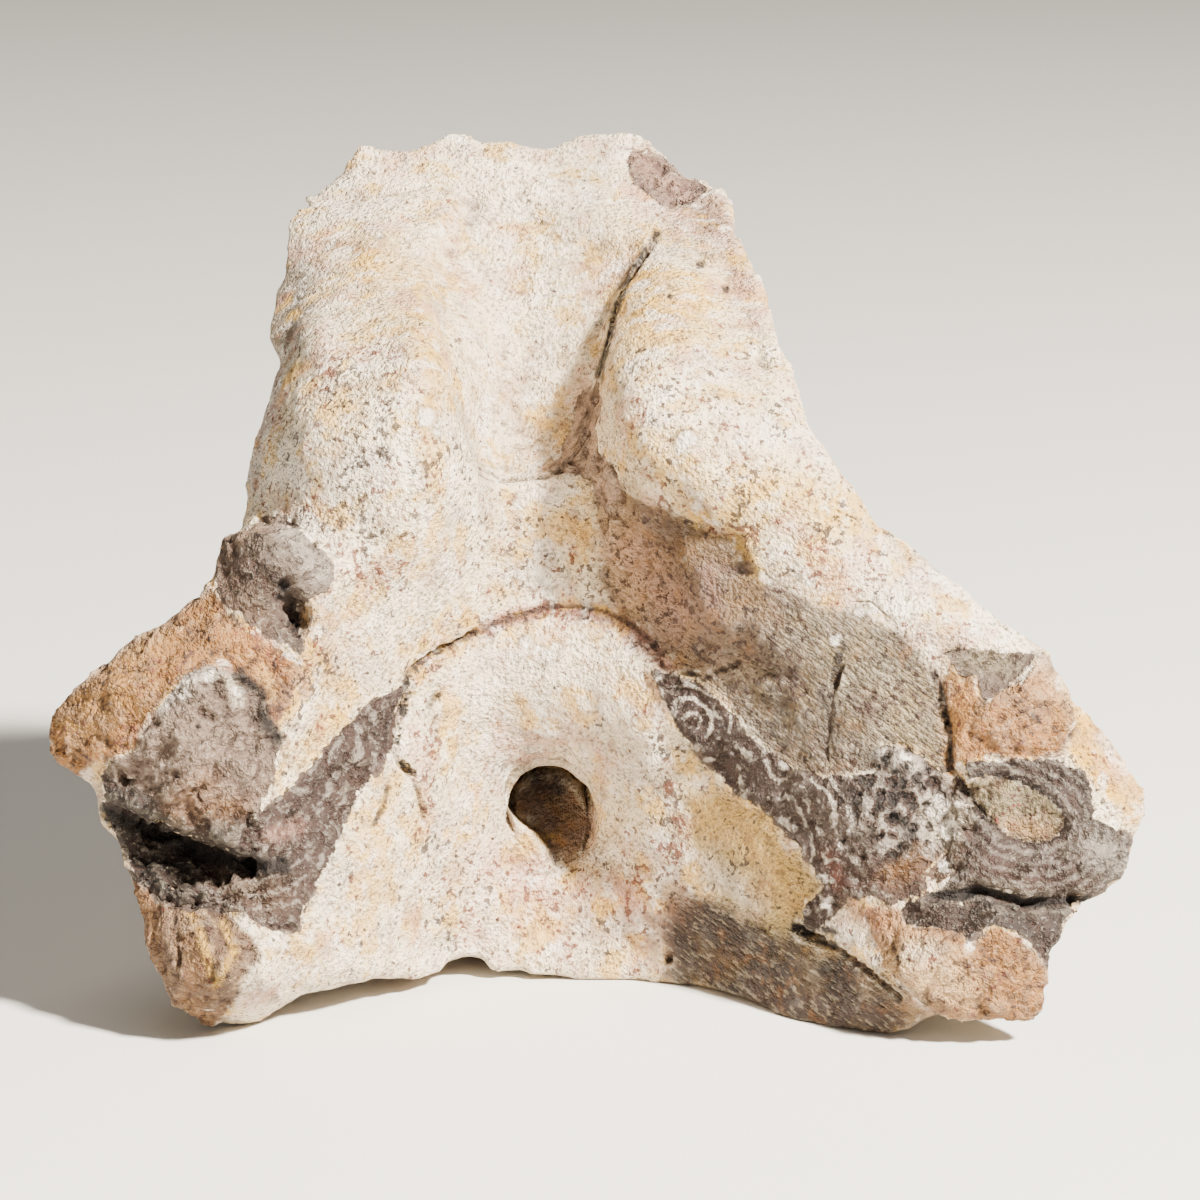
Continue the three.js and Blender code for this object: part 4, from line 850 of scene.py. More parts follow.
# Soft colours of the rock.
ROCK_STROKES = (
    Stroke(((-31.6, 7), (-29, 4.6), (-28, 2.6)), 1.3, 0.35, Tone.ASH),
    Stroke(((-37.8, 5), (-36.8, 1), (-34, -2)), 2.2, 0.75, Tone.BARK),
    Stroke(((-32.6, 8.4), (-36, 6.4)), 1.3, 0.6, Tone.CLAY),
    Stroke(((-36, 3.4), (-34.6, 3), (-33, 2.4)), 1.2, 0.6, Tone.UMBER),
    Stroke(((-32.4, 1.8), (-31.2, -0.6), (-30.6, -3.6)), 1.2, 0.6, Tone.UMBER),
    Stroke(((-43.8, -10.6), (-41.4, -8), (-38.6, -7.2)), 0.7, 0.8, Tone.ASH),
    Stroke(((-37, -8.2), (-36.2, -10)), 0.5, 0.8, Tone.PALE),
    Stroke(((-38, -9), (-37.4, -11.6)), 0.9, 0.4, Tone.UMBER),
    Stroke(((-39, -18), (-42, -20.6), (-36, -20.6)), 1.5, 0.45, Tone.TAN),
    Stroke(((-19.6, -9.6), (-24, -13), (-29, -20), (-27, -28)), 3, 0.9, Tone.MAUVE_ROCK),
    Stroke(((-24, -16), (-26, -22)), 1.4, 0.5, Tone.UMBER),
    Stroke(((-33, -23.6), (-30.4, -22.6)), 0.8, 0.35, Tone.ROSE),
    Stroke(((-26, -28), (-31, -29), (-34, -31)), 1.6, 0.5, Tone.UMBER),
    Stroke(((-37, -28.4), (-33, -29.6)), 2.4, 0.7, Tone.BARK),
    Stroke(((8, -9), (16, -17), (24, -22)), 4, 0.75, Tone.MAUVE_ROCK),
    Stroke(((20, -20), (26, -24)), 2.6, 0.5, Tone.SLATE),
    Stroke(((28, -17), (31, -20), (29, -27), (24, -29)), 2.6, 0.75, Tone.UMBER),
    Stroke(((22.8, -25.4), (24, -28.4)), 0.7, 0.5, Tone.RUST),
    Stroke(((29.4, -27), (31.8, -26)), 1.6, 0.5, Tone.TAN),
    Stroke(((33.4, -20.6), (35, -22), (34.4, -23.4)), 1.2, 0.85, Tone.PALE),
    Stroke(((27.6, -15.4), (30.4, -15.6), (31.6, -16.8)), 0.8, 0.6, Tone.ASH),
    Stroke(((37, -16.8), (41, -16.2), (45, -17.6), (47.4, -21)), 1.6, 0.65, Tone.MAUVE_ROCK),
    Stroke(((37.6, -24), (42, -27), (46.6, -25)), 2.6, 0.8, Tone.MAUVE_ROCK),
    Stroke(((38, -25.6), (43, -28.2)), 1.4, 0.6, Tone.UMBER),
    Stroke(((49, -24), (52, -26)), 2, 0.25, Tone.ASH),
    Stroke(((38, -27.6), (44, -28.6), (49, -28.8)), 1.4, 0.6, Tone.UMBER),
    Stroke(((37.6, -6), (40.6, -6.2)), 1.4, 0.5, Tone.OLIVE),
    Stroke(((32.4, -31.2), (34.6, -31.8)), 1.2, 0.5, Tone.UMBER),
    Stroke(((44, -31.6), (45, -34.6)), 1.6, 0.6, Tone.MAUVE_ROCK),
    Stroke(((-1.6, 19), (-1.8, 15), (1.2, 11)), 0.6, 0.35, Tone.UMBER),
    Stroke(((4, 43.6), (8.6, 40.6)), 2, 0.3, Tone.ROSE),
)


def feed(node: bpy.types.Node, links: dict) -> None:
    """Feeds inputs of a node.

    Args:
        node: the node.
        links: what its inputs take, by name or number: a signal, a tone or a plain value.
    """
    for slot, value in links.items():
        if isinstance(value, Signal):
            node.id_data.links.new(value.socket, node.inputs[slot])
        else:
            node.inputs[slot].default_value = value.linear() if isinstance(value, Tone) else value


def add_node(tree: bpy.types.NodeTree, kind: str, settings: dict, links: dict,
             output: str | int = 0) -> "Signal":
    """Adds a node to a material.

    Args:
        tree: the material's node tree.
        kind: the node's type, without its usual first words.
        settings: the node's own properties.
        links: what its inputs take, by name or number: a signal, a tone or a plain value.
        output: the output that is wanted, by name or number.

    Returns:
        The signal of that output.
    """
    node = tree.nodes.new("ShaderNode" + kind)
    for name, value in settings.items():
        setattr(node, name, value)
    feed(node, links)
    return Signal(node.outputs[output])


@dataclass(frozen=True)
class Signal:
    """A number, colour or place that a node gives, so that a finish can be written as formulas."""

    socket: bpy.types.NodeSocket

    def fed(self, kind: str, settings: dict, links: dict, output: str | int = 0) -> "Signal":
        """Adds a node to the same material and gives one of its outputs."""
        return add_node(self.socket.id_data, kind, settings, links, output)

    def twin(self, output: str) -> "Signal":
        """Another output of the node that gives this signal."""
        return Signal(self.socket.node.outputs[output])

    def joined(self, operation: str, other: "Signal | float" = 0.0) -> "Signal":
        """This number and another, joined by one operation."""
        return self.fed("Math", {"operation": operation}, {0: self, 1: other})

    def __add__(self, other: "Signal | float") -> "Signal":
        """The sum."""
        return self.joined("ADD", other)

    def __sub__(self, other: "Signal | float") -> "Signal":
        """The difference."""
        return self.joined("SUBTRACT", other)

    def __rsub__(self, other: float) -> "Signal":
        """What is left of a plain number."""
        return self.fed("Math", {"operation": "SUBTRACT"}, {0: other, 1: self})

    def __mul__(self, other: "Signal | float") -> "Signal":
        """The product."""
        return self.joined("MULTIPLY", other)

    def __abs__(self) -> "Signal":
        """The size without its sign."""
        return self.joined("ABSOLUTE")

    def between(self, low: float, high: float) -> "Signal":
        """Goes from one number to another by this share."""
        return self * (high - low) + low

    def rising(self, low: float, high: float) -> "Signal":
        """Rises smoothly from 0 to 1 as the number goes from low to high, or falls the other way round."""
        return self.fed("MapRange", {"interpolation_type": "SMOOTHSTEP"},
                        {"Value": self, "From Min": low, "From Max": high})

    def towards(self, above: "Signal | Tone", share: "Signal") -> "Signal":
        """Goes from this colour to another by a share."""
        return self.fed("Mix", {"data_type": "RGBA"}, {0: share, 6: self, 7: above}, 2)


@dataclass(frozen=True)
class Cloud:
    """A cloudy pattern: how wide its lumps are in millimetres, and how many finer layers it has.

    The place is the pattern in which it lies, and the output is "Fac" for one number or "Color" for three.
    """

    width: float
    detail: float = 3.0
    place: str = "place"
    output: str = "Fac"
    roughness: float = 0.6


# The clouds of the stone are as wide as the real ones, but for the grit and the streaks: those are about
# twice as wide, or they would be too fine to see.
CLOUDS = {
    "stains": Cloud(5.0, output="Color"),
    "blotches": Cloud(2.3),
    "crumbs": Cloud(0.8),
    "grit": Cloud(0.45, 2.0),
    "streaks": Cloud(0.42, 2.0, place="grain"),
    "warp": Cloud(0.78, 1.0, output="Color"),
}


@dataclass(frozen=True)
class Coat:
    """A tone over the stone where a pattern goes from low to high, up to the most that it may hide.

    The limit is another pattern, which holds it back.
    """

    tone: Tone
    pattern: str
    low: float
    high: float
    most: float
    limit: str = ""

    def over(self, colour: Signal, patterns: dict[str, Signal]) -> Signal:
        """Lays the coat on.

        Args:
            colour: the colour below it.
            patterns: the patterns by name.

        Returns:
            The colour with the coat over it.
        """
        share = patterns[self.pattern].rising(self.low, self.high) * self.most
        if self.limit:
            share = share * patterns[self.limit]
        return colour.towards(self.tone, share)


@dataclass(frozen=True)
class Bone:
    """Mineralised bone: dense and matt, like unglazed china, so light spreads on it without a clear gloss.

    Where it is whole it is stained and fibrous, and where it has broken across it is coarse and tan.
    """

    roughness: float = 0.72
    ior: float = 1.55
    specular: float = 0.35
    whole: tuple[Coat, ...] = (
        Coat(Tone.HONEY, "yellow", 0.49, 0.61, 0.7, "chalk"),
        Coat(Tone.ROSE, "pink", 0.52, 0.64, 0.5, "chalk"),
        Coat(Tone.ASH, "cool", 0.53, 0.66, 0.5, "chalk"),
        Coat(Tone.TAN, "blotches", 0.54, 0.7, 0.5),
        Coat(Tone.CHALK, "blotches", 0.48, 0.34, 0.6, "chalk"),
        Coat(Tone.PEAT, "streaks", 0.53, 0.68, 0.5, "fibre"),
        Coat(Tone.CREAM, "streaks", 0.46, 0.36, 0.22, "fibre"),
        Coat(Tone.BARK, "grit", 0.53, 0.65, 0.6),
    )
    broken: tuple[Coat, ...] = (
        Coat(Tone.BARK, "crumbs", 0.54, 0.68, 0.45),
        Coat(Tone.SAND, "crumbs", 0.46, 0.34, 0.35),
        Coat(Tone.CLAY, "blotches", 0.5, 0.62, 0.5),
        Coat(Tone.BARK, "grit", 0.56, 0.66, 0.5),
    )


@dataclass(frozen=True)
class Rock:
    """Siltstone that clings to the bone: finer, darker and duller, with bands, veins and pitted crystal."""

    roughness: float = 0.8
    coats: tuple[Coat, ...] = (
        Coat(Tone.UMBER, "blotches", 0.52, 0.66, 0.3),
        Coat(Tone.ASH, "grit", 0.55, 0.7, 0.22),
        Coat(Tone.UMBER, "grit", 0.46, 0.34, 0.4),
        Coat(Tone.ASH, "bands", 0.3, 0.1, 0.12, "banded"),
        Coat(Tone.ASH, "curls", 0.26, 0.06, 0.85, "veined"),
        Coat(Tone.NIGHT, "cells", 0.46, 0.26, 0.9, "sponge"),
        Coat(Tone.ASH, "cells", 0.56, 0.74, 0.4, "sponge"),
    )


@dataclass(frozen=True)
class WearAndShade:
    """What lies over all the stone: bruised chips, edges worn pale, dust and painted shade in its hollows,
    cracks, and painted shade with dust in the deepest hollows.
    """

    coats: tuple[Coat, ...] = (
        Coat(Tone.SLATE, "ragged_chip", -0.3, 0.0, 0.35),
        Coat(Tone.CHALK, "ragged_chip", 0.1, 0.5, 0.7),
        Coat(Tone.PALE, "hollow", -0.04, -0.2, 0.35, "edges"),
        # Dust and painted shade: darkens the hollows of the surface, where shade falls in them.
        Coat(Tone.UMBER, "hollow", 0.01, 0.12, 0.6),
        Coat(Tone.NIGHT, "ragged_crack", -0.14, 0.04, 1.0, "open"),
        # Painted shade, with some dust: near black in the deepest hollows, under ledges and in the narrowest
        # cracks.
        Coat(Tone.NIGHT, "dust_and_shade_flecks", 0.2, 0.75, 0.95, "dust_and_shade_share"),
    )


@dataclass
class FossilSurface:
    """The finish of the whole jaw, from its bone and rock up to the wear and painted shade that lie over
    them.

    Its cells and chips are given by their widths, and the relief is how far each whole step of its patterns
    stands proud, all in millimetres.
    """

    bone: Bone = Bone()
    rock: Rock = Rock()
    wear_and_shade: WearAndShade = WearAndShade()
    cell: float = 1.3
    large_chip: float = 2.0
    small_chip: float = 0.8
    relief: float = 0.65

    def __post_init__(self) -> None:
        """Starts the material and draws the patterns that its coats share."""
        self.material = bpy.data.materials.new("fossil_bone")
        self.material.use_nodes = True
        self.tree = self.material.node_tree
        self.patterns = {"place": add_node(self.tree, "TexCoord", {}, {}, "Object")}
        self.read_layers()
        self.draw_clouds()
        self.draw_cells()
        self.draw_edges()
        self.draw_veins()

    def build(self) -> bpy.types.Material:
        """Lays the bone, the rock, and the wear and painted shade over each other.

        Returns:
            A material that reads the jaw's own layers and its place in the jaw.
        """
        rock_share = self.patterns["ragged_rock"].rising(0.0, 0.2)
        breaks = self.patterns["ragged_breaks"].rising(-0.1, 0.3)
        whole = 1.0 - rock_share.joined("MAXIMUM", breaks)
        self.patterns["edges"] = whole.joined("MAXIMUM", 0.2)
        broken = self.coated("bone_tone", self.bone.broken)
        bone = self.speckled(self.coated("bone_tone", self.bone.whole).towards(broken, breaks))
        rock = self.coated("rock_tone", self.rock.coats)
        self.patterns["stone"] = bone.towards(rock, rock_share)
        normal = add_node(self.tree, "Bump", {}, {
            "Strength": 1.0, "Distance": self.relief * MM, "Height": self.height(rock_share, breaks),
        }, "Normal")
        feed(self.tree.nodes["Principled BSDF"], {
            "Base Color": self.coated("stone", self.wear_and_shade.coats),
            "Roughness": rock_share.between(self.bone.roughness, self.rock.roughness),
            "IOR": self.bone.ior, "Specular IOR Level": self.bone.specular, "Metallic": 0.0,
            "Normal": normal,
        })
        return self.material

    def coated(self, name: str, coats: tuple[Coat, ...]) -> Signal:
        """Lays coats over a colour, in their order.

        Args:
            name: the pattern that gives the colour.
            coats: the coats.

        Returns:
            The colour with the coats over it.
        """
        colour = self.patterns[name]
        for coat in coats:
            colour = coat.over(colour, self.patterns)
        return colour

    def read_layers(self) -> None:
        """Reads the jaw's own layers."""
        for name, layer in LAYERS.items():
            settings = {"attribute_name": name}
            self.patterns[name] = add_node(self.tree, "Attribute", settings, {}, layer.value[2])

    def draw_clouds(self) -> None:
        """Draws the clouds, and takes the colours of the stains apart."""
        for name, cloud in CLOUDS.items():
            self.patterns[name] = add_node(self.tree, "TexNoise", {}, {
                "Vector": self.patterns[cloud.place], "Scale": 1.0 / (cloud.width * MM),
                "Detail": cloud.detail, "Roughness": cloud.roughness}, cloud.output)
        yellow = add_node(self.tree, "SeparateColor", {}, {"Color": self.patterns["stains"]}, "Red")
        self.patterns.update(yellow=yellow, pink=yellow.twin("Green"), cool=yellow.twin("Blue"))

    def draw_cells(self, warp: float = 0.9) -> None:
        """Draws irregular cells, and the height of chips, each a small tilted plane.

        Args:
            warp: how far the cells are pulled out of shape, in their own widths.
        """
        place = self.patterns["place"]
        pull = place.fed("VectorMath", {"operation": "SCALE"},
                         {0: self.patterns["warp"], "Scale": warp * self.cell * MM})
        warped = place.fed("VectorMath", {"operation": "ADD"}, {0: place, 1: pull})
        self.patterns["cells"] = place.fed("TexVoronoi", {}, {
            "Vector": warped, "Scale": 1.0 / (self.cell * MM)}, "Distance")
        heights = []
        for width in (self.large_chip, self.small_chip):
            middle = place.fed("TexVoronoi", {}, {"Vector": place, "Scale": 1.0 / (width * MM)}, "Position")
            offset = place.fed("VectorMath", {"operation": "SUBTRACT"}, {0: place, 1: middle})
            tilt = place.fed("VectorMath", {"operation": "SUBTRACT"},
                             {0: middle.twin("Color"), 1: (0.5, 0.5, 0.5)})
            rise = place.fed("VectorMath", {"operation": "DOT_PRODUCT"}, {0: offset, 1: tilt}, "Value")
            heights.append(rise * (1.0 / MM))
        large, small = heights
        self.patterns["chips"] = large + small * 0.8

    def draw_edges(self) -> None:
        """Gives patches the ragged edges of stone, flecks the painted shade and dust, and opens the cracks
        here and there.
        """
        blotches, crumbs, dust_and_painted_shade = (self.patterns[name] for name in ("blotches", "crumbs", "dust_and_painted_shade"))
        for name, wander, fray in (("rock", 2.2, 0.6), ("breaks", 2.2, 0.6), ("chip", 2.2, 0.6),
                                   ("crack", 0.33, 0.3)):
            inside = self.patterns[name] + (blotches - 0.5) * wander + (crumbs - 0.5) * fray
            self.patterns["ragged_" + name] = inside
        self.patterns["open"] = crumbs.rising(0.3, 0.52) * self.patterns["crack_dark"]
        self.patterns["dust_and_shade_flecks"] = dust_and_painted_shade + (crumbs - 0.5) * 0.8
        self.patterns["dust_and_shade_share"] = dust_and_painted_shade.rising(0.02, 0.3)

    def draw_veins(self) -> None:
        """Draws the bands round the oval facet and the nested broken curls of the veins."""
        band, blotches, crumbs = (self.patterns[name] for name in ("band", "blotches", "crumbs"))
        rings = (self.patterns["curl"] + (crumbs - 0.5) * 0.8).joined("FRACT")
        self.patterns["curls"] = abs(rings - 0.5)
        self.patterns["veined"] = blotches.rising(0.44, 0.56) * self.patterns["vein"]
        self.patterns["bands"] = abs(((band + blotches * 1.6) * 0.9).joined("FRACT") - 0.5)
        self.patterns["banded"] = band.rising(0.05, 0.6)

    def speckled(self, bone: Signal, radius: float = 0.17) -> Signal:
        """Lays specks and small round pores of dark mineral over the bone.

        Args:
            bone: the bone's own colour.
            radius: about how wide a pore is, in widths of a cell.

        Returns:
            The speckled colour.
        """
        cells, density = self.patterns["cells"], self.patterns["pore"]
        pick = add_node(self.tree, "SeparateColor", {}, {"Color": cells.twin("Color")}, "Red")
        size = pick.twin("Green") * radius + 0.3 * radius
        pores = (cells - size).rising(0.04, -0.04) * pick.joined("LESS_THAN", density)
        specks = (self.patterns["crumbs"] + density * 0.11).rising(0.665, 0.685)
        rusty = self.patterns["pink"].rising(0.44, 0.56) * self.patterns["chalk"]
        mineral = add_node(self.tree, "Mix", {"data_type": "RGBA"}, {
            0: rusty, 6: Tone.MAUVE_ROCK, 7: Tone.RUST}, 2)
        return bone.towards(mineral, pores.joined("MAXIMUM", specks) * 0.85)

    def height(self, rock_share: Signal, breaks: Signal) -> Signal:
        """Adds up how far the patterns stand proud.

        Args:
            rock_share: the share of rock, which is rough and has pits in its crystal.
            breaks: the share of broken bone, which is rougher than the whole bone and its fibres.

        Returns:
            The height in steps of the relief.
        """
        grit, crumbs, chips = (self.patterns[name] for name in ("grit", "crumbs", "chips"))
        fibres = self.patterns["streaks"] * self.patterns["fibre"]
        pits = self.patterns["cells"].rising(0.46, 0.26) * self.patterns["sponge"]
        bone = grit * 1.3 + fibres * 1.4 + (crumbs + chips) * breaks.between(0.5, 1.3)
        rock = grit + crumbs * 1.5 + chips * 2.1 - pits * 2.2
        return bone + (rock - bone) * rock_share


class Surface:
    """A mesh of the jaw and what is known of each of its points, in millimetres."""

    def __init__(self, mesh: bpy.types.Mesh, view: RearView, filled: np.ndarray | float = 0.0) -> None:
        """Measures the mesh.

        Args:
            mesh: the jaw's mesh.
            view: the rear view.
            filled: the share of each point that a fill brought forward, and that the view sees.
        """
        self.mesh = mesh
        self.points = self.read(mesh.vertices, "co") / MM
        self.normals = self.read(mesh.vertex_normals, "vector")
        self.chart = view.chart(self.points)
        self.front = self.points[:, (0, 2)]
        self.facing = np.maximum(view.facing(self.points, self.normals), filled)

    def read(self, items: bpy.types.bpy_prop_collection, name: str) -> np.ndarray:
        """Reads a place or direction of each item.

        Args:
            items: the mesh's points or their normals.
            name: what is read of each.

        Returns:
            One row of x, y and z an item.
        """
        values = np.zeros(len(items) * 3, np.float32)
        items.foreach_get(name, values)
        return values.reshape(-1, 3).astype(float)

    def hollows(self, rounds: int = 3) -> np.ndarray:
        """Measures how deep each point lies in a hollow.

        Args:
            rounds: how many neighbours out the ground around it is taken.

        Returns:
            How far each point lies below that ground, in millimetres.
        """
        ends = np.zeros(len(self.mesh.edges) * 2, np.int32)
        self.mesh.edges.foreach_get("vertices", ends)
        ends = ends.reshape(-1, 2)
        level = self.points.copy()
        for _ in range(rounds):
            total = level.copy()
            share = np.ones(len(level))
            for here, there in (ends.T, ends.T[::-1]):
                np.add.at(total, here, level[there])
                np.add.at(share, here, 1.0)
            level = total / share[:, None]
        return ((level - self.points) * self.normals).sum(axis=1)

    def nearest(self, patches: Iterable[Patch]) -> np.ndarray:
        """How far each point that the rear view sees is inside the nearest of the patches, in millimetres."""
        return self.seen(np.max([patch.inside(self.chart) for patch in patches], axis=0))

    def seen(self, inside: np.ndarray) -> np.ndarray:
        """Keeps how far points are inside a thing where the rear view sees them, and clears the rest."""
        return np.where(self.facing > 0.5, inside, OUTSIDE)

    def store(self, name: str, values: np.ndarray) -> None:
        """Stores what each point has of a layer.

        Args:
            name: the layer's name.
            values: one row a point.
        """
        kind, field, _ = LAYERS[name].value
        stored = self.mesh.attributes.new(name, kind, "POINT")
        stored.data.foreach_set(field, values.astype(np.float32).ravel())


@dataclass
class WeatheringAndShade:
    """The layers that the finish reads: where the stone is stained, broken, cracked, veined, dirty or painted
    with shade.
    """

    surface: Surface

    def __post_init__(self) -> None:
        """Takes the surface's own fields, and one that makes the edges of all layers uneven."""
        self.chart = self.surface.chart
        self.front = self.surface.front
        self.facing = self.surface.facing
        self.uneven = Lumps(4.0, shift=11.0).at(self.surface.points)

    def build(self) -> None:
        """Stores all the layers."""
        self.colours()
        self.stone()
        self.minerals()
        self.cracks()
        self.specks()
        self.dust_shade_chips_and_hollows()
        self.fibres()

    def colours(self, paleness: float = 0.6, outer_tan: float = 0.45, outer_ash: float = 0.3) -> None:
        """Stores the colours of the bone and of the rock.

        Args:
            paleness: how far the bone clears from cream to pale.
            outer_tan: how tan the outer side is in its darker clouds.
            outer_ash: how grey the outer side is all over.
        """
        cloud = smooth_step(-0.5, 0.5, Lumps(14.0, shift=5.0).at(self.surface.points))[:, None]
        outer = (1.0 - self.facing)[:, None]
        cream, pale, ash, tan, grey = (np.array(tone.linear()) for tone in (
            Tone.CREAM, Tone.PALE, Tone.ASH, Tone.TAN, Tone.GREY_ROCK))
        bone = cream + (pale - cream) * cloud * paleness
        bone = bone + outer * outer_tan * (tan - bone) * (1.0 - cloud) + outer * outer_ash * (ash - bone)
        rock = np.tile(grey, (len(bone), 1))
        bone = self.painted(bone, (*AREAS.values(), *BREAKS.values()), BONE_STROKES)
        rock = self.painted(rock, ROCK.values(), ROCK_STROKES)
        self.surface.store("bone_tone", bone)
        self.surface.store("rock_tone", rock)

    def painted(self, colour: np.ndarray, patches: Iterable[Patch], strokes: Iterable[Stroke]) -> np.ndarray:
        """Lays patches and then strokes over a colour.

        Args:
            colour: one linear colour a point.
            patches: the patches, which cover it whole.
            strokes: the strokes, which cover it softly.

        Returns:
            The painted colours.
        """
        covers = [(patch.tone, patch.share(self.chart, 0.8 * self.uneven)) for patch in patches]
        covers += [(stroke.tone, stroke.share(self.chart, self.uneven)) for stroke in strokes]
        for tone, share in covers:
            colour = colour + (share * self.facing)[:, None] * (np.array(tone.linear()) - colour)
        return colour

    def stone(self) -> None:
        """Stores where the surface is rock, broken bone, fibrous bone and clean chalky bone."""
        stained = {name: AREAS[name].share(self.chart, self.uneven) for name in STAINED}
        fibre = np.maximum(stained["right_wall"], stained["striated"])
        fibre = fibre * (1.0 - 0.7 * stained["right_wall_brown"])
        fibre = np.maximum(fibre, 0.8 * smooth_step(9.0, 4.0, LEFT_WALL.distance(self.chart)))
        self.surface.store("fibre", np.maximum(0.2, fibre * self.facing))
        self.surface.store("chalk", 1.0 - 0.9 * np.max(list(stained.values()), axis=0) * self.facing)
        clinging = np.max([patch.inside(self.front) for patch in OUTER_ROCK], axis=0) + 2.4 * self.uneven
        rock = np.where(self.facing < 0.3, clinging, self.surface.nearest(ROCK.values()))
        oval = BREAKS["right_oval"].inside(self.chart)
        self.surface.store("rock", np.where(oval > 0.0, -oval, rock))
        self.surface.store("breaks", self.surface.nearest(BREAKS.values()))

    def minerals(self, curl_width: float = 1.55) -> None:
        """Stores the bands round the oval facet, the curled veins and the pitted crystal.

        Args:
            curl_width: how far apart the curls of a vein are, in millimetres.
        """
        rim = ROCK["right_rim"].inside(self.chart)
        self.surface.store("band", np.where(rim > -1.0, -BREAKS["right_oval"].inside(self.chart), 0.0))
        right = smooth_step(-1.0, 1.0, ROCK["right_vein"].inside(self.chart))
        right = right * smooth_step(29.0, 24.0, self.chart[:, 0])
        left = 0.3 * smooth_step(-1.0, 1.0, ROCK["left_seam"].inside(self.chart))
        self.surface.store("vein", np.maximum(right, left) * self.facing)
        rings = np.min([nest.rings(self.chart) for nest in NESTS], axis=0)
        self.surface.store("curl", rings / curl_width + 0.7 * self.uneven)
        sponge = smooth_step(0.3, 2.0, SPONGE.inside(self.chart) + self.uneven)
        self.surface.store("sponge", sponge * self.facing)

    def cracks(self, pit_dark: float = 0.85) -> None:
        """Stores the cracks and pits of both sides, and how dark each is.

        Args:
            pit_dark: how dark the pits are.
        """
        fray = 1.0 + Lumps(1.8, 1.3, 3, 21.0).at(self.surface.points)
        lines = np.array([line.inside(self.chart, fray) for line in CRACKS.values()])
        crack = lines.max(axis=0)
        dark = np.array([line.dark for line in CRACKS.values()])[lines.argmax(axis=0)]
        pit = np.max([spot.inside(self.chart, 0.55) for spot in PITS], axis=0)
        seam = np.max([line.inside(self.front, fray) for line in OUTER_SEAMS], axis=0)
        hole = np.max([spot.inside(self.front, 0.8) for spot in OUTER_PITS], axis=0)
        inside = np.where(self.facing > 0.4, np.maximum(crack, pit), np.maximum(seam, hole))
        self.surface.store("crack", inside)
        self.surface.store("crack_dark", np.where(pit > crack, pit_dark, dark))

    def specks(self) -> None:
        """Stores what share of the bone's pores hold dark mineral."""
        smooth = [stroke.share(self.chart) for stroke in SMOOTH]
        calm = np.max([smooth_step(24.0, 32.0, self.chart[:, 1]), *smooth], axis=0)
        dense = np.max([stroke.share(self.chart) for stroke in SPECKLED], axis=0)
        pore = (0.35 + 0.6 * self.uneven) * (1.0 - 0.85 * calm * self.facing) + dense * self.facing
        self.surface.store("pore", np.clip(pore, 0.0, 1.6))

    def dust_shade_chips_and_hollows(self) -> None:
        """Stores the painted shade and dust of the deepest hollows, the pale chips and the hollows."""
        dust_and_painted_shade = np.max([stroke.share(self.chart, self.uneven) for stroke in DUST_AND_SHADE_STROKES], axis=0)
        chip = np.max([spot.inside(self.chart) for spot in CHIPS], axis=0)
        self.surface.store("dust_and_painted_shade", dust_and_painted_shade * self.facing)
        self.surface.store("chip", self.surface.seen(chip))
        self.surface.store("hollow", self.surface.hollows())

    def fibres(self, stretch: float = 0.3) -> None:
        """Stores the place in which the bone's fibres are drawn, which runs down each side of the jaw.

        Args:
            stretch: how fast the place goes along the fibres, against how fast it goes across them.
        """
        x, y, depth = self.chart.T
        left = smooth_step(2.0, -6.0, x)
        along = left * (-0.45 * x - 0.9 * y) + (1.0 - left) * (0.8 * x - 0.6 * y)
        across = left * (0.9 * x - 0.45 * y) + (1.0 - left) * (0.6 * x + 0.8 * y)
        self.surface.store("grain", np.stack([stretch * along, across, stretch * depth], axis=1) * MM)


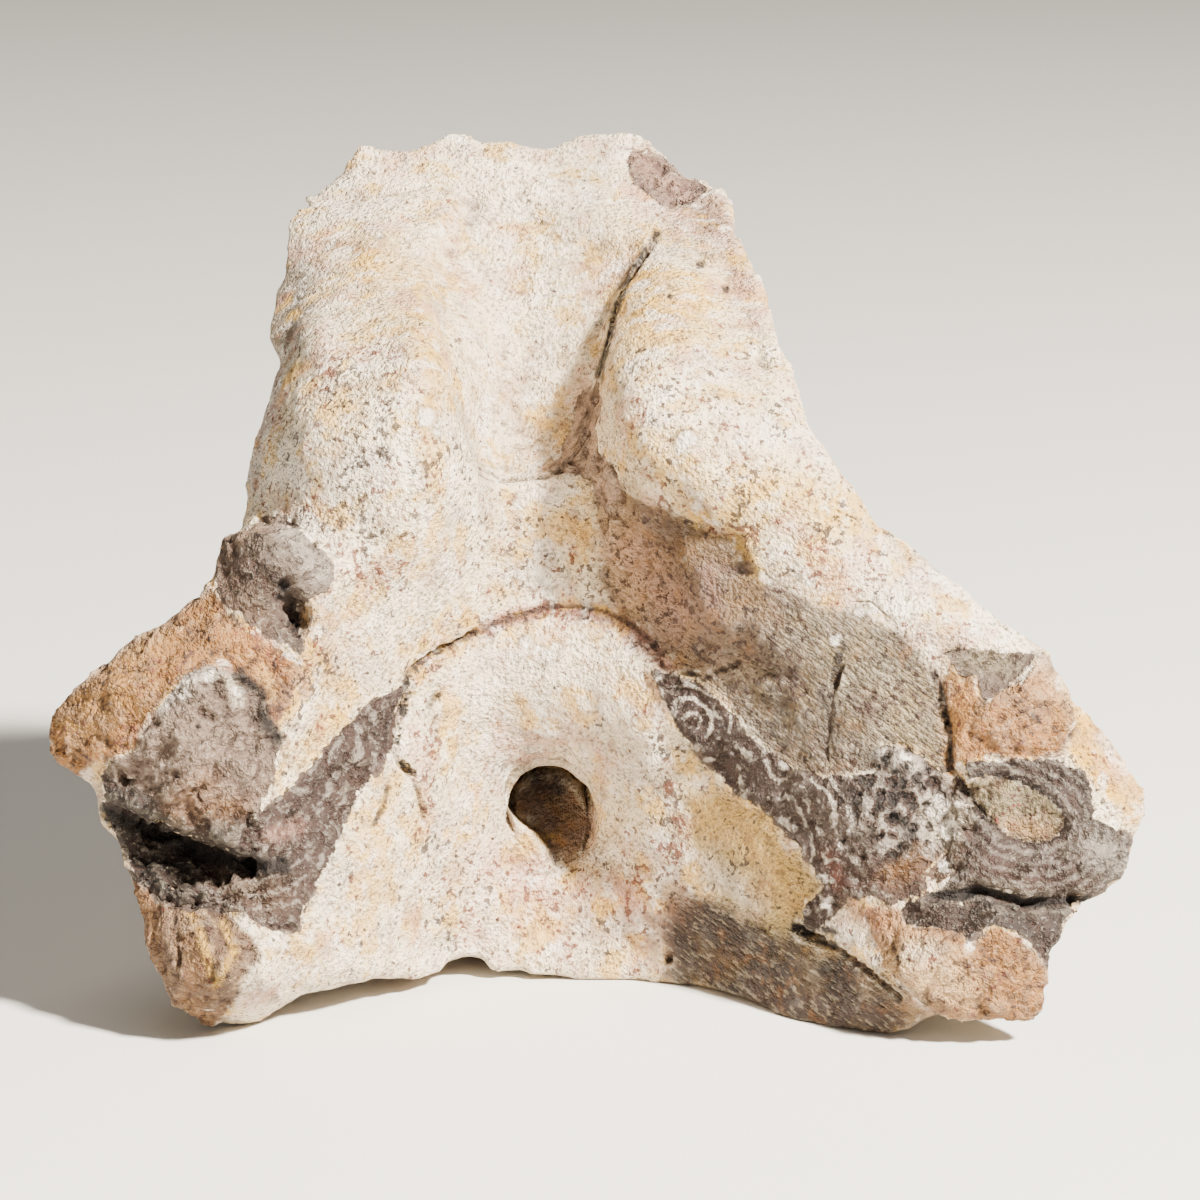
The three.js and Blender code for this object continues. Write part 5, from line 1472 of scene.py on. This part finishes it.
@dataclass
class Jaw:
    """The jaw: one piece of bone with the rock that clings to it.

    The cell is the width of its mesh's squares in millimetres, which are half as wide where the rear view
    sees them. A rim says how many radii from its middle a pit or mound starts to slope, and where it ends.
    """

    view: RearView
    finish: FossilSurface
    cell: float = 0.88
    smoothing: int = 3
    pit_rim: tuple[float, float] = (0.2, 1.1)
    mound_rim: tuple[float, float] = (0.2, 1.2)
    hole_rim: tuple[float, float] = (0.3, 1.4)
    pit_depth: float = 0.9
    hole_depth: float = 1.1
    foot: tuple[float, float] = (0.1, 1.2)
    sharp: tuple[float, float] = (-0.1, -0.3)
    bone: tuple[Lumps, ...] = (Lumps(6.5, 0.3, 3), Lumps(1.5, 0.14, 3, 7.3))
    rock: tuple[Lumps | Chips, ...] = (Lumps(2.6, 0.6, 5, 3.1), Chips(3.2, 0.7, 1.7), Chips(1.5, 0.35, 5.3))
    outer: Lumps = Lumps(7.0, 0.5, 3, 15.0)
    border: Lumps = Lumps(2.4, 0.4, 4, 9.1)

    def build(self) -> bpy.types.Object:
        """Makes the jaw's fine surface, dresses it and puts it in the place of the plain solid.

        Returns:
            The finished piece.
        """
        mesh = self.fine_mesh()
        filled = self.carve(Surface(mesh, self.view))
        WeatheringAndShade(Surface(mesh, self.view, filled)).build()
        mesh.materials.clear()
        mesh.materials.append(self.finish.build())
        mesh.shade_smooth()
        piece = bpy.data.objects.new("fossil_jaw", mesh)
        bpy.context.scene.collection.objects.link(piece)
        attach(piece, "root")
        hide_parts("lower_jaw")
        return piece

    def even_mesh(self) -> bpy.types.Mesh:
        """Copies the plain solid, merges its triangles and turns them into small even squares.

        Returns:
            The new mesh.
        """
        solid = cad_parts["lower_jaw"].data.copy()
        sheet = bmesh.new()
        sheet.from_mesh(solid)
        bmesh.ops.remove_doubles(sheet, verts=sheet.verts, dist=0.001 * MM)
        sheet.to_mesh(solid)
        sheet.free()
        holder = bpy.data.objects.new("holder", solid)
        bpy.context.scene.collection.objects.link(holder)
        remesh = holder.modifiers.new("even", "REMESH")
        remesh.mode = "VOXEL"
        remesh.voxel_size = self.cell * MM
        mesh = bpy.data.meshes.new_from_object(holder.evaluated_get(bpy.context.evaluated_depsgraph_get()))
        bpy.data.objects.remove(holder)
        mesh.name = "fossil_jaw"
        return mesh

    def fine_mesh(self) -> bpy.types.Mesh:
        """Takes the facets off the even mesh, and halves its squares where the rear view sees them.

        Returns:
            The fine mesh.
        """
        mesh = self.even_mesh()
        sheet = bmesh.new()
        sheet.from_mesh(mesh)
        soften(sheet, self.smoothing)
        sheet.normal_update()
        eye = self.view.eye()
        seen = [face for face in sheet.faces
                if face.normal.dot((eye - face.calc_center_median()).normalized()) > 0.0]
        edges = list({edge for face in seen for edge in face.edges})
        bmesh.ops.subdivide_edges(sheet, edges=edges, cuts=1, use_grid_fill=True)
        bmesh.ops.triangulate(sheet, faces=[face for face in sheet.faces if len(face.verts) > 4])
        soften(sheet, 1)
        sheet.to_mesh(mesh)
        sheet.free()
        return mesh

    def carve(self, surface: Surface) -> np.ndarray:
        """Works the relief into the surface, fills its shallow hollows and keeps it in the solid's box.

        Args:
            surface: the fine mesh as it is measured.

        Returns:
            The share of each point that a fill brought forward.
        """
        height = self.relief(surface) * smooth_step(*self.foot, surface.points[:, 2])
        height *= 1.0 - 0.8 * smooth_step(*self.sharp, surface.hollows())
        points = surface.points + surface.normals * height[:, None]
        filled = np.zeros(len(points))
        for fill in FILLS:
            rise = fill.rise(self.view.chart(points))
            points = points - self.view.away() * rise[:, None]
            filled = np.maximum(filled, smooth_step(0.0, 0.3, rise))
        low, high = (np.array(corner) for corner in cad_box)
        points = np.clip(points * MM, low, high)
        surface.mesh.vertices.foreach_set("co", points.astype(np.float32).ravel())
        surface.mesh.update()
        return filled

    def relief(self, surface: Surface) -> np.ndarray:
        """Measures the lumps, ledges, pits and cracks of both sides.

        Args:
            surface: the fine mesh as it is measured.

        Returns:
            How far they raise each point, in millimetres.
        """
        chart, front, points = surface.chart, surface.front, surface.points
        rough = sum(field.at(points) for field in self.rock)
        border = self.border.at(points)
        seen = sum(patch.relief(chart, border, rough)
                   for patches in (FORMS, AREAS, ROCK, BREAKS) for patch in patches.values())
        seen += sum(line.groove(chart) for line in CRACKS.values())
        seen -= sum(self.pit_depth * pit.radius * pit.dome(chart, *self.pit_rim) for pit in PITS)
        seen += sum(mound.rise * mound.dome(chart, *self.mound_rim) for mound in MOUNDS)
        hidden = self.outer.at(points * np.array((1.0, 1.0, 0.4)))
        hidden += sum(patch.relief(front, border, rough) for patch in OUTER_ROCK)
        hidden += sum(line.groove(front) for line in OUTER_SEAMS)
        hidden -= sum(self.hole_depth * pit.radius * pit.dome(front, *self.hole_rim) for pit in OUTER_PITS)
        lumps = sum(field.at(points) for field in self.bone)
        return lumps + seen * surface.facing + hidden * (1.0 - surface.facing)


@dataclass(frozen=True)
class Lamp:
    """A square lamp that looks at the jaw: its place and side in metres, its power in watts and its light."""

    name: str
    place: tuple[float, float, float]
    side: float
    power: float
    light: tuple[float, float, float] = (1.0, 0.94, 0.84)

    def hang(self, target: tuple[float, float, float]) -> None:
        """Makes the lamp.

        Args:
            target: the place that it looks at.
        """
        lamp = bpy.data.lights.new(self.name, "AREA")
        lamp.size = self.side
        lamp.energy = self.power
        lamp.color = self.light
        holder = bpy.data.objects.new(self.name, lamp)
        holder.location = self.place
        holder.rotation_euler = (Vector(target) - holder.location).to_track_quat("-Z", "Y").to_euler()
        bpy.context.scene.collection.objects.link(holder)


@dataclass
class Studio:
    """The pale floor, the soft lights and the camera of the rear view, in metres and watts."""

    view: RearView
    floor_size: float = 8.0
    floor_roughness: float = 0.9
    jaw_middle: tuple[float, float, float] = (0.0, 0.0, 0.04)
    room_light: tuple[float, float, float, float] = (0.9, 0.95, 1.0, 1.0)
    room_strength: float = 0.1
    lamps: tuple[Lamp, ...] = (
        Lamp("key", (0.53, -0.47, 0.70), 0.10, 72.0),
        Lamp("fill", (-0.45, -0.90, 0.42), 0.8, 2.6),
        Lamp("top", (-0.10, -0.10, 0.95), 0.5, 3.0),
    )

    def build(self) -> None:
        """Makes the floor, the lamps, the dim light of the room and the camera."""
        self.make_floor()
        for lamp in self.lamps:
            lamp.hang(self.jaw_middle)
        self.make_room()
        self.make_camera()

    def make_floor(self) -> None:
        """Makes the plain floor, which is not attached to the jaw's body."""
        sheet = bmesh.new()
        bmesh.ops.create_grid(sheet, x_segments=1, y_segments=1, size=self.floor_size / 2)
        mesh = bpy.data.meshes.new("floor")
        sheet.to_mesh(mesh)
        sheet.free()
        material = bpy.data.materials.new("pale_floor")
        material.use_nodes = True
        shader = material.node_tree.nodes["Principled BSDF"]
        feed(shader, {"Base Color": Tone.PAPER, "Roughness": self.floor_roughness})
        mesh.materials.append(material)
        floor = bpy.data.objects.new("floor", mesh)
        bpy.context.scene.collection.objects.link(floor)

    def make_room(self) -> None:
        """Gives the room a dim even light."""
        world = bpy.data.worlds.new("room")
        world.use_nodes = True
        feed(world.node_tree.nodes["Background"], {"Color": self.room_light, "Strength": self.room_strength})
        bpy.context.scene.world = world

    def make_camera(self) -> None:
        """Puts the camera at the eye of the rear view."""
        lens = bpy.data.cameras.new("rear_view")
        lens.lens = self.view.lens
        lens.sensor_width = self.view.plate
        lens.clip_start, lens.clip_end = 0.01, 20.0
        camera = bpy.data.objects.new("rear_view", lens)
        camera.location = self.view.eye()
        camera.rotation_euler = (math.radians(90.0) - self.view.elevation, 0.0, 0.0)
        bpy.context.scene.collection.objects.link(camera)
        bpy.context.scene.camera = camera


def main() -> None:
    """Builds the jaw and the studio."""
    logging.basicConfig(level=logging.INFO, format="%(message)s")
    noise.seed_set(SEED)
    view = RearView()
    jaw = Jaw(view, FossilSurface()).build()
    triangles = sum(len(face.vertices) - 2 for face in jaw.data.polygons)
    LOG.info("%s: %d triangles", jaw.name, triangles)
    Studio(view).build()
    LOG.info("studio: floor, lamps and camera")


if __name__ == "__main__":
    main()
